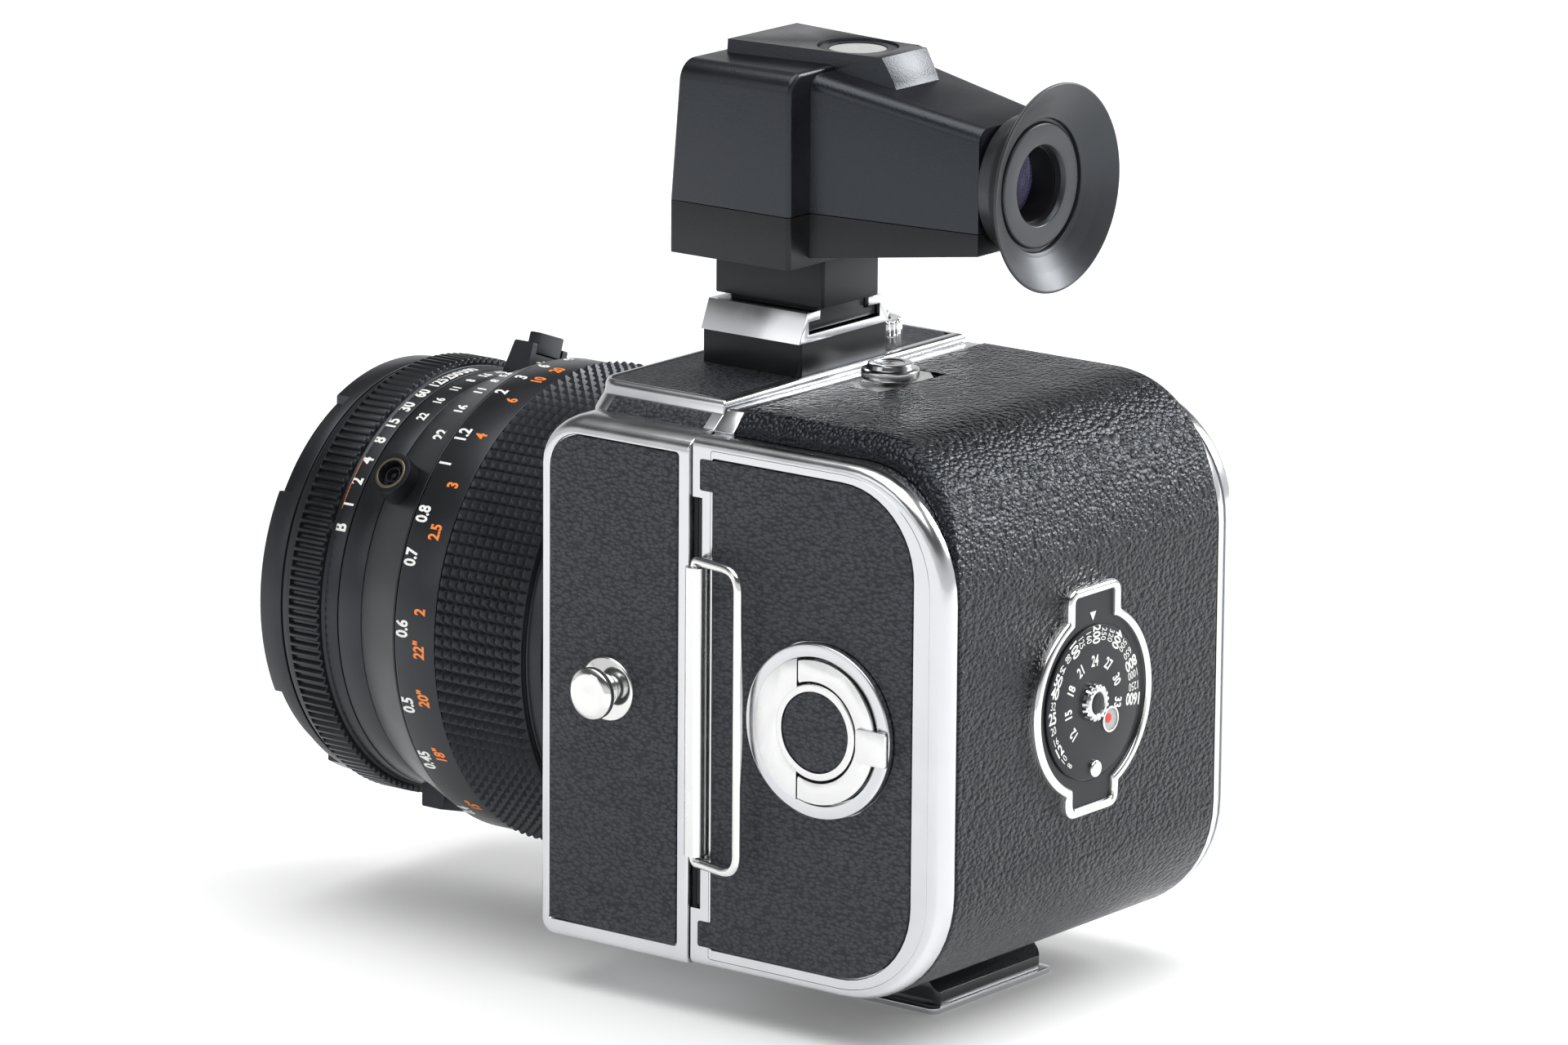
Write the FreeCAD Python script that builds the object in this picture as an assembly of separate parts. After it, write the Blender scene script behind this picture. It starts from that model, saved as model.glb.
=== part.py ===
import FreeCAD, Part
import math
import os

os.makedirs("parts", exist_ok=True)
V = FreeCAD.Vector

# Frame: origin at the tripod socket on the foot's base plane. -Y is the way the lens looks,
# +X is the photographer's left, +Z is up. Millimetres.

# ---- driving dimensions ----
LENS_Z = 51.3            # height of the optical axis above the base plane
SIDE_L = 40.6            # outer face, photographer's left
BODY_R = -40.6           # the body's outer face on the photographer's right
SIDE_R = -34.6           # the magazine's outer face on the photographer's right
BODY_FRONT = -30.1
SEAM = 0.15              # half of the gap between body and magazine
BODY_BOTTOM = 8.4
BODY_TOP = 94.0
RAISED_TOP = 98.2        # top of the rim round the top panel
RAISED_HALF = 31.0
MAG_REAR = 50.0
MAG_TOP = 94.2
MAG_RAISED = 97.0
MAG_CORNER = 20.0        # outer radius of the magazine's two rear corners
WALL = 1.4
LEATHER = 0.8            # thickness of the covering
GATE_HALF = 28.0         # film gate, half of 56 mm
SHAFT_CLEAR = 0.05       # radial running clearance
GAP = 0.3                # clearance between pieces that move past each other

# lens stations along the optical axis, from the front
RIM_Y = -93.8
KNURL_Y0, KNURL_Y1 = -86.3, -80.3
SCALE_Y1 = -77.1
APERTURE_Y1 = -72.1
FOCUS_Y0 = -61.6
GRIP_Y0 = -53.3
GRIP_Y1 = -35.6
RIM_R = 35.1
KNURL_R = 36.5
BARREL_R = 34.9
CONE_R = 38.8            # rear end of the tapered part of the barrel
TOP_TAB_AT = 19.5        # degrees of the aperture ring's upper tab from the top
LOW_TAB_AT = 15.6        # degrees of its lower tab from the bottom
LOW_TAB_R = 38.2
SOCKET_AT = 38.5         # degrees of the flash socket above the level, on the left
SOCKET_Y = -68.7
SOCKET_R = 3.65
FOCUS_R = 39.1
GRIP_R = 39.8

# shoe and finder
SHOE_HALF = 11.6
SHOE_Y0, SHOE_Y1 = -20.6, -0.9
SHOE_Z0, SHOE_Z1 = 103.6, 108.3
FINDER_Z0, FINDER_SEAM, FINDER_Z1 = 117.0, 125.5, 148.2
FINDER_AXIS_Z = 132.4
FINDER_Y0, FINDER_Y1, FINDER_Y2 = -22.0, 1.9, 32.2


# ---- building blocks ----
def box(x0, x1, y0, y1, z0, z1):
    return Part.makeBox(x1 - x0, y1 - y0, z1 - z0, V(x0, y0, z0))


def cyl(axis, at, a, b, r):
    """Cylinder along an axis from a to b; `at` is its centre on the other two axes, in order."""
    if axis == "x":
        return Part.makeCylinder(r, b - a, V(a, at[0], at[1]), V(1, 0, 0))
    if axis == "y":
        return Part.makeCylinder(r, b - a, V(at[0], a, at[1]), V(0, 1, 0))
    return Part.makeCylinder(r, b - a, V(at[0], at[1], a), V(0, 0, 1))


def ring(axis, at, a, b, r_out, r_in):
    return cyl(axis, at, a, b, r_out).cut(cyl(axis, at, a - 1, b + 1, r_in))


def cone_y(at, a, b, ra, rb):
    return Part.makeCone(ra, rb, b - a, V(at[0], a, at[1]), V(0, 1, 0))


def along(shape, axis):
    """Straight edges that run parallel to one axis."""
    found = []
    for e in shape.Edges:
        if isinstance(e.Curve, (Part.Line, Part.LineSegment)):
            d = e.Vertexes[-1].Point.sub(e.Vertexes[0].Point)
            span = {"x": abs(d.x), "y": abs(d.y), "z": abs(d.z)}
            if span[axis] > 0.999 * d.Length:
                found.append(e)
    return found


def soft_box(x0, x1, y0, y1, z0, z1, r, axis):
    """Box with the four edges along one axis rounded."""
    b = box(x0, x1, y0, y1, z0, z1)
    return b.makeFillet(r, along(b, axis))


def side_slab(x0, x1, y0, y1, z0, z1, radii):
    """Plate in the YZ plane with corner radii (front-bottom, rear-bottom, rear-top, front-top)."""
    b = box(x0, x1, y0, y1, z0, z1)
    corners = [(y0, z0), (y1, z0), (y1, z1), (y0, z1)]
    for (cy, cz), r in zip(corners, radii):
        if r > 0:
            mine = [e for e in along(b, "x")
                    if abs(e.Vertexes[0].Y - cy) < 1e-4 and abs(e.Vertexes[0].Z - cz) < 1e-4]
            b = b.makeFillet(r, mine)
    return b


def prism(points, a, b, axis):
    """Extruded polygon; points are pairs on the two axes other than `axis`, in order."""
    if axis == "x":
        pts = [V(a, p, q) for p, q in points]
        way = V(b - a, 0, 0)
    elif axis == "y":
        pts = [V(p, a, q) for p, q in points]
        way = V(0, b - a, 0)
    else:
        pts = [V(p, q, a) for p, q in points]
        way = V(0, 0, b - a)
    return Part.Face(Part.makePolygon(pts + [pts[0]])).extrude(way)


def fuse(*shapes):
    whole = shapes[0].multiFuse(list(shapes[1:]))
    return whole.removeSplitter()


def turned(shape, at, axis, degrees):
    s = shape.copy()
    s.rotate(at, axis, degrees)
    return s


def about_lens(shape, degrees):
    return turned(shape, V(0, 0, LENS_Z), V(0, 1, 0), degrees)


LENS = (0.0, LENS_Z)


def lens_ring(a, b, r_out, r_in):
    return ring("y", LENS, a, b, r_out, r_in)


NODES = {}


def node(name, shape):
    NODES[name] = shape


# ---- foot ----
def build_foot():
    plate = soft_box(-16.0, 16.0, -28.0, 30.3, 0.0, 0.9, 1.5, "z")
    block = soft_box(-14.2, 14.2, -27.0, 29.4, 0.9, BODY_BOTTOM, 1.2, "z")
    slope = prism([(24.5, 8.5), (29.5, 2.9), (31.0, 2.9), (31.0, 9.5), (24.5, 9.5)], -20, 20, "x")
    block = block.cut(slope)
    block = block.cut(box(-20, 20, 0.0, 31, BODY_BOTTOM - GAP, BODY_BOTTOM + 1))
    for side in (-1, 1):
        bevel = prism([(side * 12.7, 8.6), (side * 14.3, 7.0), (side * 15, 9)], -29, 31, "y")
        block = block.cut(bevel)
    small = cyl("z", (0, 0), -1, 6.4, 3.2)
    large = cyl("z", (0, 15), -1, 6.4, 4.76)
    node("foot_plate", plate.cut(small).cut(large))
    block = block.cut(small).cut(large)
    screw_at = [(-10, -21), (10, -21), (-10, 25.5), (10, 25.5)]
    screws = []
    for x, y in screw_at:
        plate_hole = cyl("z", (x, y), -1, 5.0, 1.6)
        NODES["foot_plate"] = NODES["foot_plate"].cut(plate_hole)
        block = block.cut(plate_hole)
        screws.append(cyl("z", (x, y), 0.15, 5.0, 1.6).cut(box(x - 2, x + 2, y - .25, y + .25, 0, 0.6)))
    node("foot_block", block)
    node("foot_screws", Part.makeCompound(screws))


# ---- body ----
def body_outline(inset, y0, y1, z1):
    return side_slab(BODY_R + inset, SIDE_L - inset, y0, y1, BODY_BOTTOM + inset, z1 - inset,
                     (2.5, 0, 0, 8.0))


def build_body():
    shell = body_outline(0, BODY_FRONT, -SEAM, BODY_TOP)
    top_edges = [e for e in along(shell, "y") if e.Vertexes[0].Z > BODY_TOP - 1]
    shell = shell.makeFillet(4.5, top_edges)
    half = RAISED_HALF
    slope = prism([(-half - 3.5, BODY_TOP - 2), (half + 3.5, BODY_TOP - 2), (half + 3.5, BODY_TOP - .2),
                   (half + 1.0, 96.0), (half + 0.9, 97.4), (half + 0.1, RAISED_TOP),
                   (-half - 0.1, RAISED_TOP), (-half - 0.9, 97.4), (-half - 1.0, 96.0),
                   (-half - 3.5, BODY_TOP - .2)], -26.2, -SEAM, "y")
    fronts = box(-60, 60, -40, -20, BODY_TOP - 0.1, 110)
    soft = soft_box(-half - 3.5, half + 3.5, -26.2, 20, BODY_TOP - 3, RAISED_TOP + 1, 4.0, "z")
    slope = fuse(slope.cut(fronts), slope.common(soft))
    shell = fuse(shell, slope)
    shell = shell.cut(box(BODY_R + 3, SIDE_L - 3, BODY_FRONT + 3.2, 1, BODY_BOTTOM + 2.6, BODY_TOP - 2.6))
    shell = shell.cut(cyl("y", LENS, BODY_FRONT - 1, BODY_FRONT + 4, 33.6))
    # shallow seats for the covering
    seat = LEATHER - 0.15
    shell = shell.cut(side_slab(SIDE_L - seat, SIDE_L + 1, -28.3, -2.4, 11.1, 91.1, (0.6, .6, .6, 6.0)))
    shell = shell.cut(side_slab(BODY_R - 1, BODY_R + seat, -28.3, -2.4, 11.1, 91.1, (0.6, .6, .6, 6.0)))
    shell = shell.cut(soft_box(-30.6, 30.6, -25.0, -2.3, RAISED_TOP - seat, RAISED_TOP + 1, 2.2, "z"))
    strip_way = prism([(33.95, 93.9), (35.2, 93.9), (35.2, 96.0), (31.85, 96.0)], -21.8, -2.4, "y")
    strip_way_right = strip_way.mirror(V(0, 0, 0), V(1, 0, 0))
    shell = shell.cut(strip_way).cut(strip_way_right)
    # strap stud seats, crank shaft, release shaft
    for side, x0, x1 in ((1, SIDE_L - 4, SIDE_L + 1), (-1, BODY_R - 1, BODY_R + 4)):
        shell = shell.cut(cyl("x", (-16.0, 51.0 if side > 0 else 82.0), x0, x1, 2.4))
    shell = shell.cut(cyl("x", (-15.0, 52.0), BODY_R - 1, BODY_R + 4, 4.0))
    shell = shell.cut(cyl("z", (-19.7, -10.3), BODY_TOP - 4, RAISED_TOP + 1, 2.6))
    shell = shell.cut(cyl("z", (-19.7, -10.3), RAISED_TOP - 3.6, RAISED_TOP + 1, 3.1))
    # shoe screw holes
    for x in (-7.5, 7.5):
        for y in (-17.2, -4.3):
            shell = shell.cut(cyl("z", (x, y), BODY_TOP - 3, RAISED_TOP + 1, 1.2))
    node("body_shell", shell)

    for name, x0, x1, stud_z in (("body_leather_left", SIDE_L - seat, SIDE_L + 0.15, 51.0),
                                 ("body_leather_right", BODY_R - 0.15, BODY_R + seat, 82.0)):
        skin = side_slab(x0, x1, -28.15, -2.55, 11.25, 90.95, (0.5, .5, .5, 5.9))
        skin = skin.cut(cyl("x", (-16.0, stud_z), x0 - 1, x1 + 1, 5.4))
        if name.endswith("right"):
            skin = skin.cut(cyl("x", (-15.0, 52.0), x0 - 1, x1 + 1, 11.2))
        node(name, skin)
    top = soft_box(-30.45, 30.45, -24.85, -2.45, RAISED_TOP - seat, RAISED_TOP - .05, 2.1, "z")
    top = top.cut(box(-11.55, 11.55, -20.75, -0.75, 90, 110))
    top = top.cut(cyl("z", (-19.7, -10.3), 90, 110, 5.4))
    node("top_leather", top)
    strip = prism([(33.6, 93.95), (34.4, 93.95), (32.3, 95.9), (31.9, 95.9)],
                  -21.7, -2.5, "y").common(strip_way)
    node("side_strips", fuse(strip, strip.mirror(V(0, 0, 0), V(1, 0, 0))))

    # rear plate with the film gate
    plate = box(BODY_R + 3.0, SIDE_L - 3.0, -3.0, -0.4, BODY_BOTTOM + 2.6, BODY_TOP - 2.6)
    plate = plate.cut(box(-GATE_HALF - 1, GATE_HALF + 1, -4, 1, LENS_Z - 29, LENS_Z + 29))
    node("rear_gate_plate", plate)

    # light chamber: a square funnel from the mount back to the gate
    def frustum(half0, half1, y0, y1):
        wires = []
        for h, y in ((half0, y0), (half1, y1)):
            p = [V(-h, y, LENS_Z - h), V(h, y, LENS_Z - h), V(h, y, LENS_Z + h), V(-h, y, LENS_Z + h)]
            wires.append(Part.makePolygon(p + [p[0]]))
        return Part.makeLoft(wires, True, True)
    chamber = frustum(25.5, 29.9, -23.4, -3.0).cut(frustum(24.1, 28.9, -23.6, -2.9))
    node("light_chamber", chamber)

    # strap studs
    for name, x0, way, z in (("strap_stud_left", SIDE_L, 1, 51.0), ("strap_stud_right", BODY_R, -1, 82.0)):
        def piece(a, b, r):
            lo, hi = sorted((x0 + way * a, x0 + way * b))
            return cyl("x", (-16.0, z), lo, hi, r)
        stud = fuse(piece(-2.8, 0.5, 2.4), piece(0.0, 0.9, 5.2), piece(0.8, 3.6, 2.3), piece(3.5, 5.6, 4.2))
        rim = [e for e in stud.Edges if abs(abs(e.BoundBox.XMin - x0) - 5.6) < 1e-3
               and abs(abs(e.BoundBox.XMax - x0) - 5.6) < 1e-3]
        node(name, stud.makeFillet(0.9, rim))

    # release: fixed knurled collar and the sprung button with its cable thread
    collar = ring("z", (-19.7, -10.3), RAISED_TOP - 0.65, RAISED_TOP + 3.4, 5.0, 3.1)
    for i in range(28):
        flute = cyl("z", (-19.7 + 5.15, -10.3), RAISED_TOP + 0.5, RAISED_TOP + 4, 0.28)
        collar = collar.cut(turned(flute, V(-19.7, -10.3, 0), V(0, 0, 1), i * 360.0 / 28))
    node("release_collar", collar)
    button = fuse(cyl("z", (-19.7, -10.3), RAISED_TOP - 0.2, RAISED_TOP + 4.4, 2.8),
                  cyl("z", (-19.7, -10.3), 90.0, RAISED_TOP, 2.6 - SHAFT_CLEAR))
    node("release_button", button.cut(cyl("z", (-19.7, -10.3), RAISED_TOP - 0.6, RAISED_TOP + 5, 1.4)))


# ---- cranks: an arm with a handle that folds into a slot in its end ----
def crank_pieces(c, x_in, x_out, hub_r, arm_half, reach, way):
    """Arm and folding handle; c is the shaft centre (y, z), the arm runs up or down from it."""
    y, z = c
    tip = z + way * reach
    pin_z = tip - way * 2.3
    mid = (x_in + x_out) / 2.0
    z_lo, z_hi = sorted((z, tip))
    arm = soft_box(x_out, x_in, y - arm_half, y + arm_half, z_lo, z_hi, 1.2, "x")
    arm = fuse(arm, cyl("x", c, x_out, x_in, hub_r))
    slot_end = z + way * (hub_r + 1.2)
    s_lo, s_hi = sorted((slot_end, tip + way))
    half = arm_half - 1.6
    arm = arm.cut(box(x_out - 1, x_in + 1, y - half, y + half, s_lo, s_hi))
    arm = arm.cut(cyl("y", (mid, pin_z), y - 9, y + 9, 0.75))
    g_lo, g_hi = sorted((slot_end + way * 0.4, pin_z))
    g = half - 0.3
    handle = soft_box(mid - 0.95, mid + 0.95, y - g, y + g, g_lo, g_hi, 0.5, "y")
    handle = fuse(handle, cyl("y", (mid, pin_z), y - g, y + g, 1.35),
                  cyl("y", (mid, pin_z), y - arm_half + 0.2, y + arm_half - 0.2, 0.69))
    return arm, handle, (mid, pin_z)


def build_advance():
    c = (-15.0, 52.0)
    node("crank_boss", ring("x", c, BODY_R - 2.0, BODY_R + 0.5, 11.0, 4.0))
    arm, handle, _ = crank_pieces(c, BODY_R - 2.3, BODY_R - 5.2, 9.5, 4.5, 25.0, 1)
    node("advance_crank", fuse(arm, cyl("x", c, BODY_R - 3, BODY_R + 11.0, 3.95)))
    node("crank_handle", handle)
    gear = cyl("x", c, BODY_R + 4.6, BODY_R + 5.6, 6.6)
    teeth = [turned(box(BODY_R + 4.6, BODY_R + 5.6, c[0] - .55, c[0] + .55, c[1] + 6.2, c[1] + 7.5),
                    V(0, c[0], c[1]), V(1, 0, 0), i * 18.0) for i in range(20)]
    node("advance_gear", fuse(gear, *teeth).cut(cyl("x", c, BODY_R + 3, BODY_R + 8, 3.95)))


# ---- accessory shoe ----
def build_shoe():
    h = SHOE_HALF - 0.2
    base = soft_box(-h, h, SHOE_Y0, SHOE_Y1, RAISED_TOP - 0.6, SHOE_Z0, 0.5, "z")
    base = base.cut(box(-20, 20, -2.35, 1, RAISED_TOP - 1, RAISED_TOP))
    screws = []
    for x in (-7.5, 7.5):
        for y in (-17.2, -4.3):
            base = base.cut(cyl("z", (x, y), 95, 110, 1.2))
            screws.append(fuse(cyl("z", (x, y), 96.0, SHOE_Z0 + 0.6, 1.2),
                               cyl("z", (x, y), SHOE_Z0 + 0.6, SHOE_Z0 + 1.15, 1.9)))
    node("shoe_block", base)
    # channel: 18.6 wide slot under two lips, open to the rear
    t = SHOE_HALF
    shoe = prism([(-t - .2, SHOE_Z0), (t + .2, SHOE_Z0), (9.8, SHOE_Z1), (-9.8, SHOE_Z1)],
                 SHOE_Y0, SHOE_Y1, "y")
    shoe = shoe.cut(box(-9.35, 9.35, SHOE_Y0 + 1.2, 2, SHOE_Z0 + 1.2, SHOE_Z0 + 3.3))
    shoe = shoe.cut(box(-6.35, 6.35, SHOE_Y0 + 1.2, 2, SHOE_Z0 + 1.2, 110))
    for x in (-7.5, 7.5):
        for y in (-17.2, -4.3):
            shoe = shoe.cut(cyl("z", (x, y), 100, SHOE_Z0 + 0.6, 1.2))
            shoe = shoe.cut(cyl("z", (x, y), SHOE_Z0 + 0.6, SHOE_Z0 + 1.2, 1.9))
    node("accessory_shoe", shoe)
    node("shoe_screws", Part.makeCompound(screws))


# ---- finder ----
def side_taper(z0f, z1f, z0r, z1r, xf, xr):
    """Loft between a front rectangle and a rear one; used for the finder's tapered half."""
    wires = []
    for x, y, z0, z1 in ((xf, FINDER_Y1, z0f, z1f), (xr, FINDER_Y2, z0r, z1r)):
        p = [V(-x, y, z0), V(x, y, z0), V(x, y, z1), V(-x, y, z1)]
        wires.append(Part.makePolygon(p + [p[0]]))
    return Part.makeLoft(wires, True, True)


def build_finder():
    xb, xt, xr = 18.4, 13.0, 9.6
    front = box(-xb, xb, FINDER_Y0, FINDER_Y1, FINDER_Z0, FINDER_Z1)
    top_edges = [e for e in along(front, "y") if e.Vertexes[0].Z > FINDER_Z1 - 1]
    front = front.makeFillet(3.2, top_edges)
    front = front.makeFillet(0.8, along(front, "z"))
    rear = side_taper(118.2, 147.4, 121.9, 142.0, xt, xr)
    ridge = [e for e in rear.Edges if e.Vertexes[0].Z > 140 and e.Vertexes[-1].Z > 140
             and abs(e.Vertexes[0].Y - e.Vertexes[-1].Y) > 20]
    rear = rear.makeFillet(2.4, ridge)
    whole = fuse(front, rear)
    hump = prism([(-19.4, 150.4), (10.4, 150.2), (12.6, 146.6), (14.0, 143.0), (14.0, 141.0), (-19.4, 141.0)],
                 -9.0, 9.0, "x")
    wedge = prism([(-9.0, -20), (9.0, -20), (5.4, 15), (-5.4, 15)], 140, 150.6, "z")
    hump = hump.common(wedge)
    upper = fuse(whole, hump)
    inner = fuse(box(-16.6, 16.6, FINDER_Y0 + 2, FINDER_Y1 - 1.8, FINDER_Z0 + 2, FINDER_Z1 - 2.4),
                 side_taper(120.4, 144.6, 124.2, 139.6, xt - 1.9, xr - 1.7).common(
                     box(-20, 20, -5, FINDER_Y2 - 2.2, 110, 150)))
    inner = fuse(inner, box(-11.0, 11.0, FINDER_Y1 - 2.5, FINDER_Y1 + 1, 120.5, 144.5))
    upper = upper.cut(inner)
    well = cyl("z", (0, 1.3), 148.2, 152, 6.5)
    upper = upper.cut(well)
    window = box(-13.6, 13.6, FINDER_Y0 - 1, FINDER_Y0 + 3, 120.6, 144.2)
    upper = upper.cut(window)
    eye = cyl("y", (0, FINDER_AXIS_Z), FINDER_Y2 - 4, FINDER_Y2 + 1, 7.4)
    upper = upper.cut(eye)
    below = box(-40, 40, -40, 60, 100, FINDER_SEAM)
    node("finder_lower_cover", upper.common(box(-40, 40, -40, 60, 100, FINDER_SEAM - 0.15)))
    node("finder_upper_cover", upper.cut(below))

    glass = box(-13.5, 13.5, FINDER_Y0 + 0.4, FINDER_Y0 + 1.6, 120.7, 144.1)
    bulge = Part.makeSphere(60, V(0, FINDER_Y0 + 61.0, FINDER_AXIS_Z)).common(
        box(-11, 11, FINDER_Y0 + 0.9, FINDER_Y0 + 5.0, 122.5, 142.3))
    node("finder_front_lens", fuse(glass, bulge))
    mirror = prism([(-12.0, 138.0), (-2.0, 138.0), (-2.0, 143.5), (-9.0, 143.5)], -6.0, 6.0, "x")
    node("level_mirror", mirror)
    node("level_window", cyl("z", (0, 1.3), 148.2, 149.5, 6.45))
    tube = ring("y", (0, FINDER_AXIS_Z), FINDER_Y2 - 4.2, FINDER_Y2 + 2.4, 7.4, 5.9)
    neck = ring("y", (0, FINDER_AXIS_Z), FINDER_Y2, FINDER_Y2 + 3.2, 9.2, 5.9)
    node("eyepiece_tube", fuse(tube, neck))
    lens = cyl("y", (0, FINDER_AXIS_Z), FINDER_Y2 - 2.5, FINDER_Y2 - 0.2, 5.9)
    node("eyepiece_lens", lens.common(Part.makeSphere(24, V(0, FINDER_Y2 - 24.3, FINDER_AXIS_Z))))
    # eyecup: sleeve on the neck, then a flared cup
    y = FINDER_Y2
    sec = [(9.2, y + 0.4), (10.7, y + 0.4), (11.2, y + 3.2), (12.4, y + 4.6), (14.4, y + 6.0),
           (16.4, y + 8.2), (15.9, y + 8.5), (13.6, y + 6.7), (11.3, y + 5.4), (10.6, y + 5.1),
           (10.6, y + 4.2), (9.9, y + 4.2), (9.9, y + 5.1), (6.5, y + 5.1), (6.1, y + 4.4),
           (6.1, y + 3.2), (9.2, y + 3.2)]
    pts = [V(r, yy, FINDER_AXIS_Z) for r, yy in sec]
    cup = Part.Face(Part.makePolygon(pts + [pts[0]])).revolve(V(0, 0, FINDER_AXIS_Z), V(0, 1, 0), 360)
    node("eyecup", cup)

    # foot block and its rails
    block = soft_box(-7.5, 7.5, -21.3, 0.4, 108.8, FINDER_Z0, 0.7, "z")
    stem = box(-6.05, 6.05, -19.1, -1.6, SHOE_Z0 + 1.5, 109)
    rail = box(-9.05, 9.05, -19.1, -1.6, SHOE_Z0 + 1.5, SHOE_Z0 + 3.0)
    node("finder_foot", fuse(block, stem, rail))


# ---- lens ----
def build_lens():
    # fixed mount on the body front
    flange = lens_ring(BODY_FRONT - 2.2, BODY_FRONT, 36.8, 30.4)
    spigot = lens_ring(BODY_FRONT - 0.1, BODY_FRONT + 3.4, 33.5, 30.4)
    tube = lens_ring(GRIP_Y0 + 1.0, BODY_FRONT - 2.0, 33.4, 30.4)
    node("lens_mount", fuse(flange, spigot, tube))

    # focus ring: scale band and grip turn together
    band = lens_ring(FOCUS_Y0, GRIP_Y0, FOCUS_R, BARREL_R + GAP)
    bore = lens_ring(GRIP_Y0 - 0.1, GRIP_Y1, FOCUS_R - 1.1, 33.4 + SHAFT_CLEAR)
    step = lens_ring(GRIP_Y1, BODY_FRONT - 2.2 - GAP, FOCUS_R - 1.7, 33.4 + SHAFT_CLEAR)
    node("focus_ring", fuse(band, bore, step))
    grip = lens_ring(GRIP_Y0, GRIP_Y1, GRIP_R, FOCUS_R - 1.1)
    for k in range(1, 10):
        y = GRIP_Y0 + (GRIP_Y1 - GRIP_Y0) * k / 10.0
        v = [V(GRIP_R + 0.1, y - 0.55, LENS_Z), V(GRIP_R + 0.1, y + 0.55, LENS_Z), V(GRIP_R - 0.8, y, LENS_Z)]
        groove = Part.Face(Part.makePolygon(v + [v[0]])).revolve(V(0, 0, LENS_Z), V(0, 1, 0), 360)
        grip = grip.cut(groove)
    node("focus_grip", grip)

    # barrel: runs forward when focused closer
    taper = cone_y(LENS, APERTURE_Y1 + 0.05, FOCUS_Y0 - GAP, BARREL_R + 0.05, CONE_R)
    shell = fuse(lens_ring(APERTURE_Y1 + 0.05, GRIP_Y0 - 0.4, BARREL_R, 30.0),
                 taper.cut(cyl("y", LENS, -80, -50, 32.0)))
    inner = lens_ring(-82.0, APERTURE_Y1 + 1.0, 30.6, 30.0)
    sleeve = lens_ring(GRIP_Y0 - 3.0, BODY_FRONT + 1.0, 30.3, 26.0)
    barrel = fuse(shell, inner, sleeve, lens_ring(-60.5, -56.0, 30.3, 26.0))
    socket_hole = fuse(cyl("x", (SOCKET_Y, LENS_Z), 28, 40, 2.65),
                       cyl("x", (SOCKET_Y, LENS_Z), 35.25, 41, SOCKET_R + SHAFT_CLEAR))
    barrel = barrel.cut(about_lens(socket_hole, -SOCKET_AT))
    node("lens_barrel", barrel)

    # cell that carries both glass groups and the shutter
    case = lens_ring(-79.5, -71.0, 29.9, 16.0).cut(lens_ring(-76.6, -73.0, 28.4, 5.0))
    node("shutter_case", case)
    front_cell = fuse(lens_ring(-90.0, -79.5, 29.9, 27.6), lens_ring(-84.5, -79.5, 27.7, 15.0))
    node("front_cell", front_cell)
    rear_cell = fuse(lens_ring(-71.0, -61.0, 29.9, 17.5), lens_ring(-61.0, -36.0, 25.9, 21.2),
                     lens_ring(-36.0, -14.0, 22.6, 21.2))
    rear_cell = rear_cell.cut(cone_y(LENS, -62.0, -55.0, 17.5, 21.2))
    node("rear_cell", rear_cell)
    front = cyl("y", LENS, -90.2, -84.6, 27.5).common(Part.makeSphere(62, V(0, -29.4, LENS_Z)))
    node("front_element", front)
    node("middle_element", cyl("y", LENS, -84.0, -80.0, 14.9).cut(
        Part.makeSphere(24, V(0, -57.8, LENS_Z))))
    rear = cyl("y", LENS, -40.0, -13.0, 21.1).common(Part.makeSphere(40, V(0, -52.0, LENS_Z)))
    node("rear_element", rear)

    # front bayonet with three lug gaps, and the beauty ring inside
    bayonet = fuse(lens_ring(-91.3, -86.6, RIM_R, 30.0), lens_ring(RIM_Y, -91.2, RIM_R, 31.6),
                   lens_ring(-86.7, -82.0, 33.4, 30.0))
    bayonet = bayonet.cut(lens_ring(-89.1, -88.7, 36, 34.7))
    for k in range(4):
        cut = lens_ring(-93.0, -90.9, 36, 33.6).common(
            prism([(0, LENS_Z), (60, LENS_Z + 60 * math.tan(math.radians(16))),
                   (60, LENS_Z - 60 * math.tan(math.radians(16)))], -95, -88, "y"))
        bayonet = bayonet.cut(about_lens(cut, -47.5 - 90 * k))
    node("front_bayonet", bayonet)
    node("front_trim_ring", lens_ring(-91.1, -90.2, 29.8, 25.0))

    # shutter speed ring: knurl and scale band
    knurl = lens_ring(KNURL_Y0, KNURL_Y1, KNURL_R, 33.4 + SHAFT_CLEAR)
    count = 144
    tool = box(KNURL_R - 0.7, KNURL_R + 1, KNURL_Y0 + 0.5, KNURL_Y1 + 1, LENS_Z - .3, LENS_Z + .3)
    knurl = knurl.cut(Part.makeCompound([about_lens(tool, i * 360.0 / count) for i in range(count)]))
    scale = fuse(lens_ring(KNURL_Y1 - .1, SCALE_Y1 - 0.1, BARREL_R, 30.6 + SHAFT_CLEAR))
    node("shutter_speed_ring", fuse(knurl.cut(lens_ring(-81.7, -79, 33.6, 30)), scale,
                                    lens_ring(-81.7, KNURL_Y1, 35.0, 30.6 + SHAFT_CLEAR)))

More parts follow.
